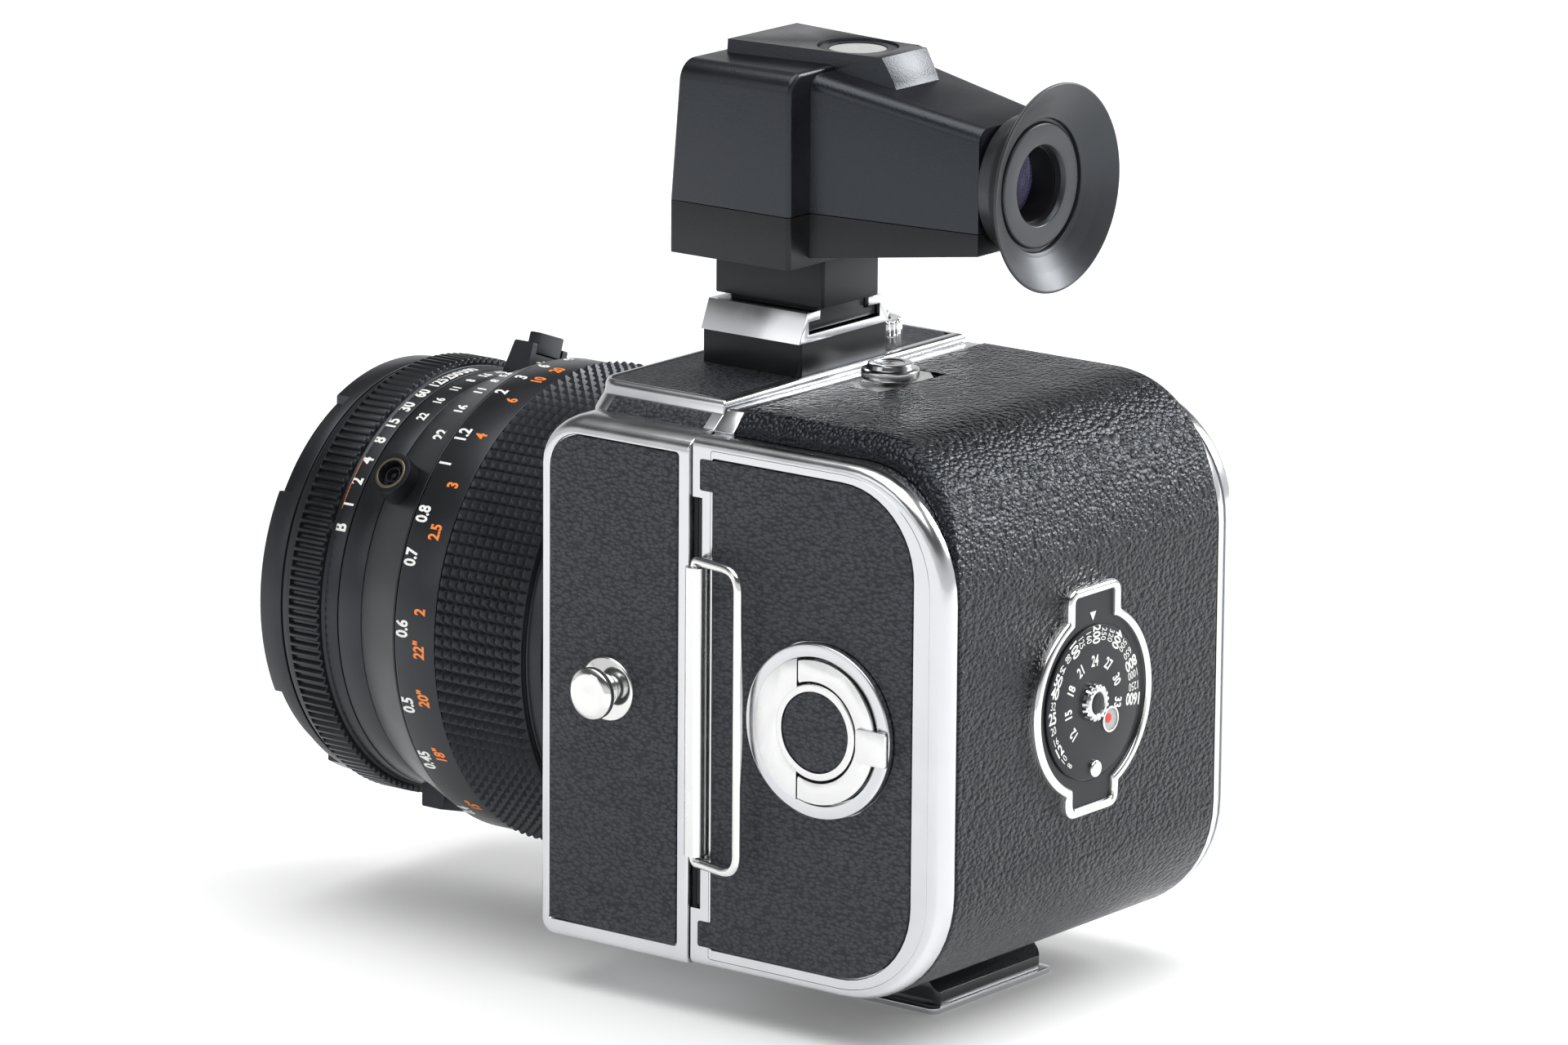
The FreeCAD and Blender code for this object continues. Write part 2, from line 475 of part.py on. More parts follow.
    # aperture ring with two tabs
    ap = lens_ring(SCALE_Y1 + 0.05, APERTURE_Y1 - 0.1, BARREL_R, 30.6 + SHAFT_CLEAR)
    tab = prism([(-77.0, 33.5), (-72.3, 33.5), (-72.3, 35.4), (-71.7, 35.4), (-71.7, 40.0), (-75.6, 40.0)],
                -4.8, 4.8, "x")
    tab.translate(V(0, 0, LENS_Z))
    low_tab = tab.cut(box(-9, 9, -80, -70, LENS_Z + LOW_TAB_R, LENS_Z + 50))
    ap = fuse(ap, about_lens(tab, -TOP_TAB_AT), about_lens(low_tab, 180 - LOW_TAB_AT))
    slot = box(-3.5, 3.5, -74.3, -70.0, LENS_Z + 38.2, LENS_Z + 45)
    ap = ap.cut(about_lens(slot, -TOP_TAB_AT))
    node("aperture_ring", ap)
    key = box(-3.3, 3.3, -74.1, -71.8, LENS_Z + 38.4, LENS_Z + 41.9)
    node("interlock_key", about_lens(key, -TOP_TAB_AT))

    # flash socket on the barrel
    at = (SOCKET_Y, LENS_Z)
    sock = fuse(cyl("x", at, 30.2, 35.6, 2.6), ring("x", at, 35.3, 40.2, SOCKET_R, 2.3))
    core = fuse(cyl("x", at, 35.5, 38.2, 2.3), ring("x", at, 38.0, 39.5, 1.4, 1.15))
    pin = cyl("x", at, 38.0, 39.2, 0.45)
    node("flash_socket", about_lens(sock.cut(cyl("x", at, 35.5, 41, 2.3)), -SOCKET_AT))
    node("flash_contact", about_lens(fuse(core, pin), -SOCKET_AT))


# ---- leaves ----
IRIS_PIVOT = (24.5, 3.6)    # pivot of the first iris leaf, across the axis
IRIS_REST = 13.0            # degrees each iris leaf has swung in at rest
SHUTTER_PIVOT_R = 24.1
SHUTTER_SWING = 45.0        # degrees each shutter leaf swings to open
STOP_R = 11.3               # clear radius at the leaves
LEAF = 0.14


def build_leaves():
    px, pz = IRIS_PIVOT
    pivot = V(px, 0, LENS_Z + pz)
    swung = turned(Part.Vertex(0, 0, LENS_Z), V(SHUTTER_PIVOT_R, 0, LENS_Z), V(0, 1, 0), SHUTTER_SWING)
    hole = (swung.Vertexes[0].X, swung.Vertexes[0].Z)
    pins = []
    for k in range(5):
        # iris leaf: a curved band from its pivot, kept short of the next leaf's pin
        y = -74.55 + 0.28 * k
        sector = prism([(30, LENS_Z - 1), (30, LENS_Z + 30), (-3, LENS_Z + 30), (0, LENS_Z - 1)], y, y + LEAF, "y")
        band = lens_ring(y, y + LEAF, 26.0, 17.2).common(sector)
        leaf = fuse(band, cyl("y", (px, LENS_Z + pz), y, y + LEAF, 1.7))
        leaf = leaf.common(cyl("y", (px, LENS_Z + pz), y, y + LEAF, 28.0))
        leaf = leaf.cut(cyl("y", (px, LENS_Z + pz), y - 1, y + 1, 0.75))
        leaf = turned(leaf, pivot, V(0, 1, 0), -IRIS_REST)
        node("iris_leaf_%d" % (k + 1), about_lens(leaf, -72.0 * k))
        pins.append(about_lens(cyl("y", (px, LENS_Z + pz), -74.9, -72.9, 0.7), -72.0 * k))
    for k in range(5):
        # shutter leaf: covers the middle when closed, clears the stop when swung out
        y = -76.3 + 0.28 * k
        leaf = fuse(cyl("y", LENS, y, y + LEAF, STOP_R + 1.0),
                    box(8.0, SHUTTER_PIVOT_R, y, y + LEAF, LENS_Z - 6.0, LENS_Z + 1.5),
                    cyl("y", (SHUTTER_PIVOT_R, LENS_Z), y, y + LEAF, 2.0))
        leaf = leaf.cut(cyl("y", hole, y - 1, y + 1, STOP_R + 0.2))
        leaf = leaf.common(cyl("y", hole, y - 1, y + 1, 27.6))
        leaf = leaf.common(cyl("y", (SHUTTER_PIVOT_R, LENS_Z), y - 1, y + 1, 27.0))
        leaf = sorted(leaf.Solids, key=lambda piece: piece.Volume)[-1]
        leaf = leaf.cut(cyl("y", (SHUTTER_PIVOT_R, LENS_Z), y - 1, y + 1, 0.75))
        node("shutter_leaf_%d" % (k + 1), about_lens(leaf, -72.0 * k - 30.0))
        pins.append(about_lens(cyl("y", (SHUTTER_PIVOT_R, LENS_Z), -76.7, -74.9, 0.7), -72.0 * k - 30.0))
    node("leaf_pins", Part.makeCompound(pins))


# ---- magazine ----
def mag_outline(inset, x0, x1, y0=SEAM, top=MAG_TOP):
    r = max(MAG_CORNER - inset, 1.0)
    return side_slab(x0, x1, y0, MAG_REAR - inset, BODY_BOTTOM + inset, top - inset, (0, r, r, 0))


def build_magazine():
    shell = mag_outline(0, SIDE_R, SIDE_L)
    raised = side_slab(-34.0, 34.0, SEAM, MAG_REAR - 0.6, 60, MAG_RAISED, (0, 0, 23.0, 0))
    slope = prism([(-34.2, 60), (35.0, 60), (35.0, MAG_TOP - .2), (31.6, MAG_RAISED),
                   (-31.6, MAG_RAISED), (-34.2, MAG_TOP - .2)], -1, 60, "y")
    shell = fuse(shell, raised.common(slope))
    # film chamber, open on the left for the insert
    chamber = side_slab(SIDE_R + WALL, SIDE_L + 1, 5.6, 47.3, 11.2, 91.9, (0.5, 17.3, 17.3, 0.5))
    shell = shell.cut(chamber)
    mouth = side_slab(38.0, SIDE_L + 1, 3.9, 46.6, 10.1, 92.4, (0.5, 16.8, 16.8, 0.5))
    shell = shell.cut(mouth)
    # dark slide way and film gate in the front wall
    shell = shell.cut(box(SIDE_R + 2, SIDE_L + 1, 0.95, 2.35, LENS_Z - 33.3, LENS_Z + 33.3))
    shell = shell.cut(box(-GATE_HALF, GATE_HALF, -1, 6, LENS_Z - GATE_HALF, LENS_Z + GATE_HALF))
    # seat for the folded bar on the left edge
    shell = shell.cut(box(SIDE_L - 1.0, SIDE_L + 1, -0.1, 3.9, 26.4, 74.3))
    # wrap seat
    seat = LEATHER - 0.15
    outer = mag_outline(-1, -31.9, 37.9).cut(mag_outline(seat, -40, 45)).cut(box(-50, 50, -2, 3.9, 0, 120))
    outer = outer.cut(box(-50, 50, -5, 60, 80, 120).cut(box(-50, 50, 46, 60, 80, 120)))
    shell = shell.cut(outer)
    # release plate seat and button slot
    shell = shell.cut(box(-8.4, 8.4, 3.9, 12.9, MAG_RAISED - 0.9, MAG_RAISED + 1))
    shell = shell.cut(soft_box(-5.2, 2.0, 6.7, 9.9, 90, 99, 1.59, "z"))
    # gear cover and crank shaft on the right, dial hub at the rear
    shell = shell.cut(cyl("x", (27.0, 63.0), SIDE_R - 1, SIDE_R + 3, 2.5))
    shell = shell.cut(cyl("y", (3.7, 52.3), 44, 52, 2.05))
    node("magazine_shell", shell)

    # wrap: bottom and rear sheet, and the raised top sheet
    low = mag_outline(-0.15, -31.75, 37.75).cut(mag_outline(seat, -40, 45)).cut(box(-50, 50, -2, 4.05, 0, 120))
    low = low.cut(box(-50, 50, -5, 46.2, 80, 120)).cut(box(-50, 50, 46, 60, 80, 120))
    low = low.cut(cyl("y", (3.7, 52.3), 44, 60, 15.9))
    for z0, z1 in ((64, 72.0), (32.6, 40)):
        low = low.cut(box(3.7 - 7.1, 3.7 + 7.1, 44, 60, z0, z1))
    node("magazine_wrap", low)
    skin = side_slab(-33.0, 34.0, 4.1, 48.0, 60, MAG_RAISED + 0.35, (0, 0, 22.5, 0)).common(
        prism([(-33.0, 92), (34.4, 92), (34.2, MAG_TOP + 0.6), (31.5, MAG_RAISED + .35),
               (-31.5, MAG_RAISED + .35), (-33.0, MAG_TOP + 1.1)], 0, 60, "y"))
    skin = skin.cut(shell).cut(box(-8.6, 8.6, 3.7, 13.1, 90, 110)).cut(box(-50, 50, 0, 60, 0, MAG_TOP + 0.05))
    skin = skin.cut(box(-50, 50, 37, 60, 0, 120))
    solids = sorted(skin.Solids, key=lambda s: s.Volume)
    node("magazine_top_leather", solids[-1])

    plate = soft_box(-8.2, 8.2, 4.1, 12.7, MAG_RAISED - 0.9, MAG_RAISED + 0.35, 1.4, "z")
    plate = plate.cut(soft_box(-5.2, 2.0, 6.7, 9.9, 90, 99, 1.59, "z"))
    node("release_plate", plate)
    knob = fuse(cyl("z", (0, 8.3), MAG_RAISED + 0.7, MAG_RAISED + 2.3, 4.7),
                cyl("z", (0, 8.3), MAG_RAISED + 2.2, MAG_RAISED + 3.2, 3.5),
                cyl("z", (0, 8.3), MAG_RAISED - 2.6, MAG_RAISED + 1, 1.45))
    knob = fuse(knob, box(-1.1, 1.1, 7.2, 9.4, MAG_RAISED - 4.4, MAG_RAISED - 2.2))
    node("release_knob", knob)

    # right side gear cover, winding crank and counter
    cover = fuse(mag_outline(0.45, SIDE_R - 2.9, SIDE_R),
                 soft_box(SIDE_R - 4.0, SIDE_R, 12.0, 44.0, 22.0, 78.0, 9.0, "x"))
    cover = cover.cut(soft_box(SIDE_R - 2.8, SIDE_R + 1, 13.5, 42.5, 23.5, 76.5, 7.5, "x"))
    cover = cover.cut(cyl("x", (27.0, 63.0), SIDE_R - 6, SIDE_R + 1, 2.5))
    cover = cover.cut(cyl("x", (27.0, 35.0), SIDE_R - 6, SIDE_R - 2, 4.0))
    node("gear_cover", cover)
    node("counter_window", cyl("x", (27.0, 35.0), SIDE_R - 3.9, SIDE_R - 2.9, 3.95))
    node("counter_disc", fuse(ring("x", (31.5, 35.0), SIDE_R - 2.4, SIDE_R - 1.7, 8.5, 1.05)))
    node("counter_stud", cyl("x", (31.5, 35.0), SIDE_R - 2.7, SIDE_R, 1.0))
    arm, handle, _ = crank_pieces((27.0, 63.0), SIDE_R - 4.3, SIDE_R - 6.6, 8.2, 3.6, 21.5, -1)
    node("winding_crank", fuse(arm, cyl("x", (27.0, 63.0), SIDE_R - 5, SIDE_R + 1.0, 2.45)))
    node("winding_handle", handle)
    gear = fuse(cyl("x", (27.0, 63.0), SIDE_R - 2.4, SIDE_R - 1.0, 8.0),
                *[turned(box(SIDE_R - 2.4, SIDE_R - 1.0, 26.55, 27.45, 70.6, 71.9), V(0, 27.0, 63.0),
                         V(1, 0, 0), i * 15.0) for i in range(24)])
    node("winding_gear", gear.cut(cyl("x", (27.0, 63.0), SIDE_R - 4, SIDE_R, 2.45)))

    # rear dial
    c = (3.7, 52.3)
    bezel = fuse(ring("y", c, MAG_REAR - 0.65, MAG_REAR + 2.0, 15.6, 12.6),
                 soft_box(c[0] - 6.9, c[0] + 6.9, MAG_REAR - 0.65, MAG_REAR + 1.2, 34.0, 71.4, 2.0, "y").cut(
                     cyl("y", c, 40, 60, 12.6)),
                 cyl("y", c, MAG_REAR - 0.65, MAG_REAR + 0.3, 13.0)).cut(cyl("y", c, 40, 60, 2.05))
    node("dial_bezel", bezel)
    dial = fuse(ring("y", c, MAG_REAR + 0.55, MAG_REAR + 1.4, 12.4, 2.0),
                cyl("y", c, MAG_REAR - 1.5, MAG_REAR + 1.4, 2.0))
    hub = cyl("y", c, MAG_REAR + 1.3, MAG_REAR + 2.6, 3.6)
    cuts = [turned(cyl("y", (c[0] + 3.7, c[1]), MAG_REAR + 1.5, MAG_REAR + 3, 0.4), V(c[0], 0, c[1]),
                   V(0, 1, 0), i * 22.5) for i in range(16)]
    node("reminder_dial", dial)
    node("dial_hub", hub.cut(Part.makeCompound(cuts)))


# ---- film insert ----
SUPPLY = (28.5, 32.0)
TAKEUP = (28.5, 71.0)


def build_insert():
    end = side_slab(38.1, SIDE_L, 4.0, 46.45, 10.25, 92.25, (0.5, 16.7, 16.7, 0.5))
    seat = LEATHER - 0.15
    panel = side_slab(SIDE_L - seat, SIDE_L + 1, 4.0 - 1, 43.5, 11.7, 91.1, (0.5, 13.8, 13.8, 0.5))
    end = end.cut(panel)
    key = (26.2, 51.2)
    end = end.cut(cyl("x", key, 36, 42, 3.05))
    inner = soft_box(36.4, 38.1, 8.6, 45.0, 13.0, 90.2, 3.0, "x").common(
        side_slab(30, 40, 8.6, 46.0, 12.4, 90.8, (0, 16.2, 16.2, 0)))
    inner = inner.cut(cyl("x", key, 36, 42, 3.05))
    right = side_slab(-32.95, -32.2, 8.6, 45.0, 13.0, 90.2, (1, 15.6, 15.6, 1))
    rails = [soft_box(-32.3, 36.5, 40.0, 43.0, 48.5, 54.5, 1.0, "x"),
             soft_box(-32.3, 36.5, 11.0, 14.5, 48.0, 54.6, 1.0, "x")]
    rollers = [cyl("x", (10.6, 15.8), -32.3, 36.5, 1.6), cyl("x", (10.6, 86.8), -32.3, 36.5, 1.6)]
    for spool in (SUPPLY, TAKEUP):
        right = right.cut(cyl("x", spool, -34, -31, 2.05))
        inner = inner.cut(cyl("x", spool, 36, 37.4, 2.05))
    node("insert_end_plate", fuse(end, inner))
    node("insert_frame", fuse(right, *(rails + rollers)))
    skin = side_slab(SIDE_L - seat, SIDE_L + 0.15, 4.05, 43.35, 11.85, 90.95, (0.5, 13.7, 13.7, 0.5))
    node("insert_leather", skin.cut(cyl("x", key, 38, 42, 14.2)))
    node("pressure_plate", soft_box(-30.6, 30.6, 7.2, 8.3, 20.6, 82.0, 1.0, "y"))
    node("pressure_spring", prism([(8.3, 48.2), (9.0, 48.2), (11.1, 52.2), (11.1, 52.6), (8.7, 49.2),
                                   (8.3, 49.2)], -6, 6, "x"))
    # film web from one roll to the other, across the gate
    y, t = 6.4, 0.2
    web = fuse(box(-30.75, 30.75, y, y + t, 15.8, 86.8),
               ring("x", (10.6, 86.8), -30.75, 30.75, 4.2, 4.0).common(box(-40, 40, 5, 10.6, 86.8, 95)),
               ring("x", (10.6, 15.8), -30.75, 30.75, 4.2, 4.0).common(box(-40, 40, 5, 10.6, 5, 15.8)),
               box(-30.75, 30.75, 10.6, 24.0, 90.8, 91.0).cut(box(-40, 40, 24, 30, 80, 95)),
               box(-30.75, 30.75, 10.6, 24.0, 11.6, 11.8))
    node("film_web", web.common(box(-40, 40, 0, 16.0, 0, 120)))
    for name, at, roll in (("supply_spool", SUPPLY, 9.4), ("takeup_spool", TAKEUP, 8.0)):
        spool = fuse(cyl("x", at, -31.9, -30.9, 12.4), cyl("x", at, 30.9, 31.9, 12.4),
                     cyl("x", at, -31.0, 31.0, 6.0), cyl("x", at, -32.9, -31.8, 2.0),
                     cyl("x", at, 31.8, 37.3, 2.0))
        node(name, spool)
        node(name.replace("spool", "roll"), ring("x", at, -30.75, 30.75, roll, 6.0))

    # key: fixed outer ring, turning centre, folding half ring
    node("key_ring", ring("x", key, SIDE_L - seat, SIDE_L + 1.5, 14.0, 11.9))
    base = cyl("x", key, SIDE_L + 0.05, SIDE_L + 0.7, 11.6)
    boss = ring("x", key, SIDE_L + 0.6, SIDE_L + 2.1, 7.7, 6.5)
    front_half = ring("x", key, SIDE_L + 0.6, SIDE_L + 2.1, 11.6, 7.6).common(
        box(35, 50, 10, 22.7, 35, 70))
    shaft = cyl("x", key, 35.6, SIDE_L + 0.3, 3.0)
    latch = soft_box(34.2, 36.0, 24.4, 28.0, 44.0, 58.4, 1.0, "x")
    base = base.cut(ring("x", key, SIDE_L + 0.2, SIDE_L + 3, 11.7, 7.75).common(
        box(35, 50, 22.6, 45, 30, 75)))
    turn = fuse(base, boss, front_half)
    node("key_base", turn)
    node("key_shaft", fuse(shaft, latch))
    hinge = (SIDE_L + 1.28, 23.8)
    handle = ring("x", key, SIDE_L + 0.46, SIDE_L + 2.1, 11.6, 8.1).common(
        fuse(box(35, 50, hinge[1], 45, 30, 75), cyl("z", hinge, 30, 75, 0.82)))
    tab = soft_box(SIDE_L + 1.75, SIDE_L + 2.7, 34.5, 40.4, 47.8, 53.4, 0.4, "x")
    node("key_handle", fuse(handle, tab))
    node("key_centre", cyl("x", key, SIDE_L + 0.7, SIDE_L + 1.9, 6.45))

    # dark slide, its bar and the folding wire bail
    slide = box(-31.5, SIDE_L - 0.6, 1.15, 2.15, LENS_Z - 33.0, LENS_Z + 33.0)
    node("dark_slide", slide)
    bar = soft_box(SIDE_L - 0.7, SIDE_L + 2.6, 0.2, 3.7, 26.9, 73.8, 1.0, "z")
    bar = bar.cut(box(38, SIDE_L - 0.6, 0, 5, 26, 75)).cut(cyl("z", (SIDE_L + 1.2, 1.9), 20, 80, 0.85))
    node("dark_slide_bar", bar)
    node("dark_slide_bail", bail_wire())


def bail_wire():
    """Wire loop whose straight leg lies in the bar; it folds flat over the end plate."""
    x, y0, y1, z0, z1, r, bend = SIDE_L + 1.2, 1.9, 12.2, 25.1, 75.6, 0.8, 4.0
    leg = cyl("z", (x, y0), z0 + r, z1 - r, r)
    rise = 2.2
    arms = []
    for z in (z0 + r, z1 - r):
        d = V(rise, y1 - bend + 0.4 - y0, 0)
        arms.append(Part.makeCylinder(r, d.Length, V(x, y0, z), d))
        arms.append(Part.makeSphere(r, V(x, y0, z)))
    xt = x + rise
    ya = y1 - bend + 0.4
    for z, s in ((z0 + r, 1), (z1 - r, -1)):
        ring_part = Part.makeTorus(bend - 0.4, r, V(xt, ya, z + s * (bend - 0.4)), V(1, 0, 0))
        lo, hi = sorted((z - s * 2, z + s * (bend - 0.4)))
        arms.append(ring_part.common(box(xt - 2, xt + 2, ya, ya + 8, lo, hi)))
        arms.append(Part.makeSphere(r, V(xt, ya, z)))
    far = cyl("z", (xt, ya + bend - 0.4), z0 + r + bend - 0.4, z1 - r - bend + 0.4, r)
    return fuse(leg, far, *arms)


for step in (build_foot, build_body, build_advance, build_shoe, build_finder, build_lens, build_leaves,
             build_magazine, build_insert):
    step()

# Pieces fixed to each other that share one finish are kept as one file.
GROUPS = {
    "body_covering": ["body_leather_left", "body_leather_right", "top_leather", "side_strips"],
    "body_fittings": ["strap_stud_left", "strap_stud_right", "release_collar", "crank_boss",
                      "foot_screws", "shoe_screws"],
    "light_chamber": ["light_chamber", "rear_gate_plate"],
    "advance_crank": ["advance_crank", "advance_gear"],
    "finder_glass": ["finder_front_lens", "eyepiece_lens", "level_window", "level_mirror"],
    "lens_glass": ["front_element", "middle_element", "rear_element"],
    "front_bayonet": ["front_bayonet", "front_trim_ring"],
    "flash_socket": ["flash_socket", "flash_contact"],
    "shutter_case": ["shutter_case", "front_cell", "leaf_pins"],
    "magazine_wrap": ["magazine_wrap", "magazine_top_leather"],
    "gear_cover": ["gear_cover", "counter_stud"],
    "winding_crank": ["winding_crank", "winding_gear"],
    "reminder_dial": ["reminder_dial", "dial_hub"],
    "insert_end_plate": ["insert_end_plate", "key_ring"],
    "insert_frame": ["insert_frame", "pressure_plate", "pressure_spring"],
    "magazine_fittings": ["release_plate", "dial_bezel"],
    "supply_spool": ["supply_spool", "supply_roll"],
    "takeup_spool": ["takeup_spool", "takeup_roll"],
    "key_base": ["key_base", "key_shaft", "key_centre"],
    "dark_slide": ["dark_slide", "dark_slide_bar"],
}
for whole, members in GROUPS.items():
    joined = fuse(*[NODES.pop(m) for m in members])
    NODES[whole] = joined

for name, shape in NODES.items():
    shape.exportStep("parts/%s.step" % name)
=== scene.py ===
import math

import bmesh
import bpy
from mathutils import Matrix, Vector


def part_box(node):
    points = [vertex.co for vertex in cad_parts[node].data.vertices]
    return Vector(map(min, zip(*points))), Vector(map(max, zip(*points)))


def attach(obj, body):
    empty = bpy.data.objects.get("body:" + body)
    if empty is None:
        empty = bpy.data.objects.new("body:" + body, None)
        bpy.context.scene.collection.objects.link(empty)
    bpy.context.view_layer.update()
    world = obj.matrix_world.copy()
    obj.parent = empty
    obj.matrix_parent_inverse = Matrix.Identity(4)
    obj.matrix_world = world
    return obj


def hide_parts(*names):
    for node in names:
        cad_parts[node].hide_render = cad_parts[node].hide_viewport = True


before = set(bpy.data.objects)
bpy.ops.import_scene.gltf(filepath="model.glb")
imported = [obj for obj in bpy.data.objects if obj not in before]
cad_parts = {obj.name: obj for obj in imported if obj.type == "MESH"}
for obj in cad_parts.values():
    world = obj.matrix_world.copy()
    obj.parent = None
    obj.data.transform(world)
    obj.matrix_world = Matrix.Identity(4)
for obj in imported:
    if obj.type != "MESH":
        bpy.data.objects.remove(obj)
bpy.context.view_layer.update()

# Shapes below are in millimetres in the frame's own axes: -Y is the way the lens looks,
# +X is the photographer's left, +Z is up. Meshes are scaled to metres as they are made.
MM = 0.001


# ---- sizes read from the frame ----
def span(node):
    lo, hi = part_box(node)
    return [v / MM for v in lo], [v / MM for v in hi]


def middle(node, axis):
    lo, hi = span(node)
    return (lo[axis] + hi[axis]) / 2


X, Y, Z = 0, 1, 2
BODY_HI = span("body_shell")[1]
MAG_LO, MAG_HI = span("magazine_shell")
LENS_Z = middle("lens_barrel", Z)
SIDE_L = MAG_HI[X]              # outer face on the photographer's left
SIDE_R = MAG_LO[X]              # the magazine's outer face on the right
BODY_R = -SIDE_L                # the body's outer face on the right
BODY_FRONT = -30.1
SEAM = MAG_LO[Y]
BOTTOM = MAG_LO[Z]
BODY_TOP = 94.0                 # shoulder beside the top panel
RAISED_TOP = BODY_HI[Z]
MAG_REAR = MAG_HI[Y]
MAG_SHOULDER = 94.2
MAG_TOP = MAG_HI[Z]
SEAT = 0.65                     # depth of the seats that hold the covering
PROUD = 0.15                    # how far the covering stands above its seats
SLOT_HALF = 33.3                # half the dark slide's slot, up and down from the lens axis
GATE_HALF = 28.0                # half the film gate

# centres of the round pieces, across the axis they turn about
STUD_Y = -16.0
CRANK = (-15.0, 52.0)           # advance crank, (y, z)
RELEASE = (-19.7, -10.3)        # release button, (x, y)
EYEPIECE = (0, 132.4)           # (x, z)
LEVEL = (0, 1.3)                # spirit level on the finder, (x, y)
KNOB = (0, 8.3)                 # magazine release, (x, y)
WINDING = (27.0, 63.0)          # magazine crank, (y, z)
COUNTER = (27.0, 35.0)          # counter window, (y, z)
SPOOLS = ((28.5, 32.0), (28.5, 71.0))
DIAL = (3.7, 52.3)              # reminder dial, (x, z)
KEY = (26.2, 51.2)              # insert key, (y, z)


# ---- outlines ----
def rounded(points, radii, steps=8):
    """Closed outline whose corners are arcs, each of steps + 1 points."""
    out = []
    count = len(points)
    for i, corner in enumerate(points):
        radius = radii[i] if isinstance(radii, (list, tuple)) else radii
        before, here, after = Vector(points[i - 1]), Vector(corner), Vector(points[(i + 1) % count])
        u, v = (before - here).normalized(), (after - here).normalized()
        half = u.angle(v) / 2
        room = 0.49 * min((before - here).length, (after - here).length)
        radius = max(min(radius, room * math.tan(half)), 0.01)
        centre = here + (u + v).normalized() * radius / math.sin(half)
        start = here + u * radius / math.tan(half) - centre
        end = here + v * radius / math.tan(half) - centre
        a0 = math.atan2(start.y, start.x)
        turn = (math.atan2(end.y, end.x) - a0 + math.pi) % (2 * math.pi) - math.pi
        for k in range(steps + 1):
            a = a0 + turn * k / steps
            out.append((centre.x + radius * math.cos(a), centre.y + radius * math.sin(a)))
    return out


def rect(x0, x1, y0, y1, radii=0.3, steps=8):
    """Outline as a function of inset; radii run from the low corner, anticlockwise."""
    each = radii if isinstance(radii, (list, tuple)) else [radii] * 4

    def outline(d=0.0):
        corners = [(x0 + d, y0 + d), (x1 - d, y0 + d), (x1 - d, y1 - d), (x0 + d, y1 - d)]
        return rounded(corners, [max(r - d, 0.02) for r in each], steps)
    return outline


def disc(cx, cy, r, steps=96):
    def outline(d=0.0):
        angles = [2 * math.pi * k / steps for k in range(steps)]
        return [(cx + (r - d) * math.cos(a), cy + (r - d) * math.sin(a)) for a in angles]
    return outline


def at_x(p, h):
    return (h, p[0], p[1])


def at_y(p, h):
    return (p[0], h, p[1])


def at_z(p, h):
    return (p[0], p[1], h)


# ---- meshes ----
def linked(name, data):
    obj = bpy.data.objects.new(name, data)
    bpy.context.scene.collection.objects.link(obj)
    return obj


def finish_mesh(name, verts, faces, angle=32.0):
    mesh = bpy.data.meshes.new(name)
    mesh.from_pydata([Vector(v) * MM for v in verts], [], faces)
    tidy_mesh(mesh, angle)
    return linked(name, mesh)


def tidy_mesh(mesh, angle=32.0):
    bm = bmesh.new()
    bm.from_mesh(mesh)
    bmesh.ops.remove_doubles(bm, verts=bm.verts, dist=2e-7)
    bmesh.ops.recalc_face_normals(bm, faces=bm.faces)
    bm.to_mesh(mesh)
    bm.free()
    mesh.polygons.foreach_set("use_smooth", [True] * len(mesh.polygons))
    mesh.set_sharp_from_angle(angle=math.radians(angle))


def skin(name, loops, ring=False, angle=32.0):
    """Surface through loops of equal length. A ring closes on itself; otherwise the ends are capped."""
    n = len(loops[0])
    verts = [p for loop in loops for p in loop]
    faces = []
    for i in range(len(loops) if ring else len(loops) - 1):
        j = (i + 1) % len(loops)
        for k in range(n):
            m = (k + 1) % n
            faces.append((i * n + k, i * n + m, j * n + m, j * n + k))
    if not ring:
        faces.append(tuple(range(n)))
        faces.append(tuple((len(loops) - 1) * n + k for k in range(n)))
    return finish_mesh(name, verts, faces, angle)


def slab(name, outline, a, b, place, edge=0.25, steps=3, angle=32.0):
    """Plate from a to b with both rims rounded by edge."""
    loops = []
    for k in range(steps + 1):
        t = math.pi / 2 * k / steps
        loops.append([place(p, a + edge * (1 - math.sin(t))) for p in outline(edge * (1 - math.cos(t)))])
    loops.reverse()
    for k in range(steps + 1):
        t = math.pi / 2 * k / steps
        loops.append([place(p, b - edge * (1 - math.sin(t))) for p in outline(edge * (1 - math.cos(t)))])
    return skin(name, loops, angle=angle)


def lathe(name, profile, axis, at, steps=144, angle=32.0, wave=None):
    """Closed profile of (radius, station) pairs turned about an axis through `at`.

    wave(k, r, s) may change the radius at the k-th step round.
    """
    loops = []
    for k in range(steps):
        a = 2 * math.pi * k / steps
        loop = []
        for r, s in profile:
            if wave:
                r = wave(k, r, s)
            u, v = at[0] + r * math.cos(a), at[1] + r * math.sin(a)
            loop.append({"x": (s, u, v), "y": (u, s, v), "z": (u, v, s)}[axis])
        loops.append(loop)
    return skin(name, loops, ring=True, angle=angle)


def turned_ring(name, axis, at, a, b, r_out, r_in, edge=0.25, steps=144):
    profile = rounded([(r_in, a), (r_out, a), (r_out, b), (r_in, b)], [0.05, edge, edge, 0.05], 3)
    return lathe(name, profile, axis, at, steps)


def turned_solid(name, axis, at, profile, radii, steps=96):
    """Profile from the axis out and back, with rounded corners; its first and last points are at radius 0."""
    inner = rounded(profile, [0.01] + list(radii) + [0.01], 3)
    return lathe(name, [(max(r, 0.0), s) for r, s in inner], axis, at, steps)


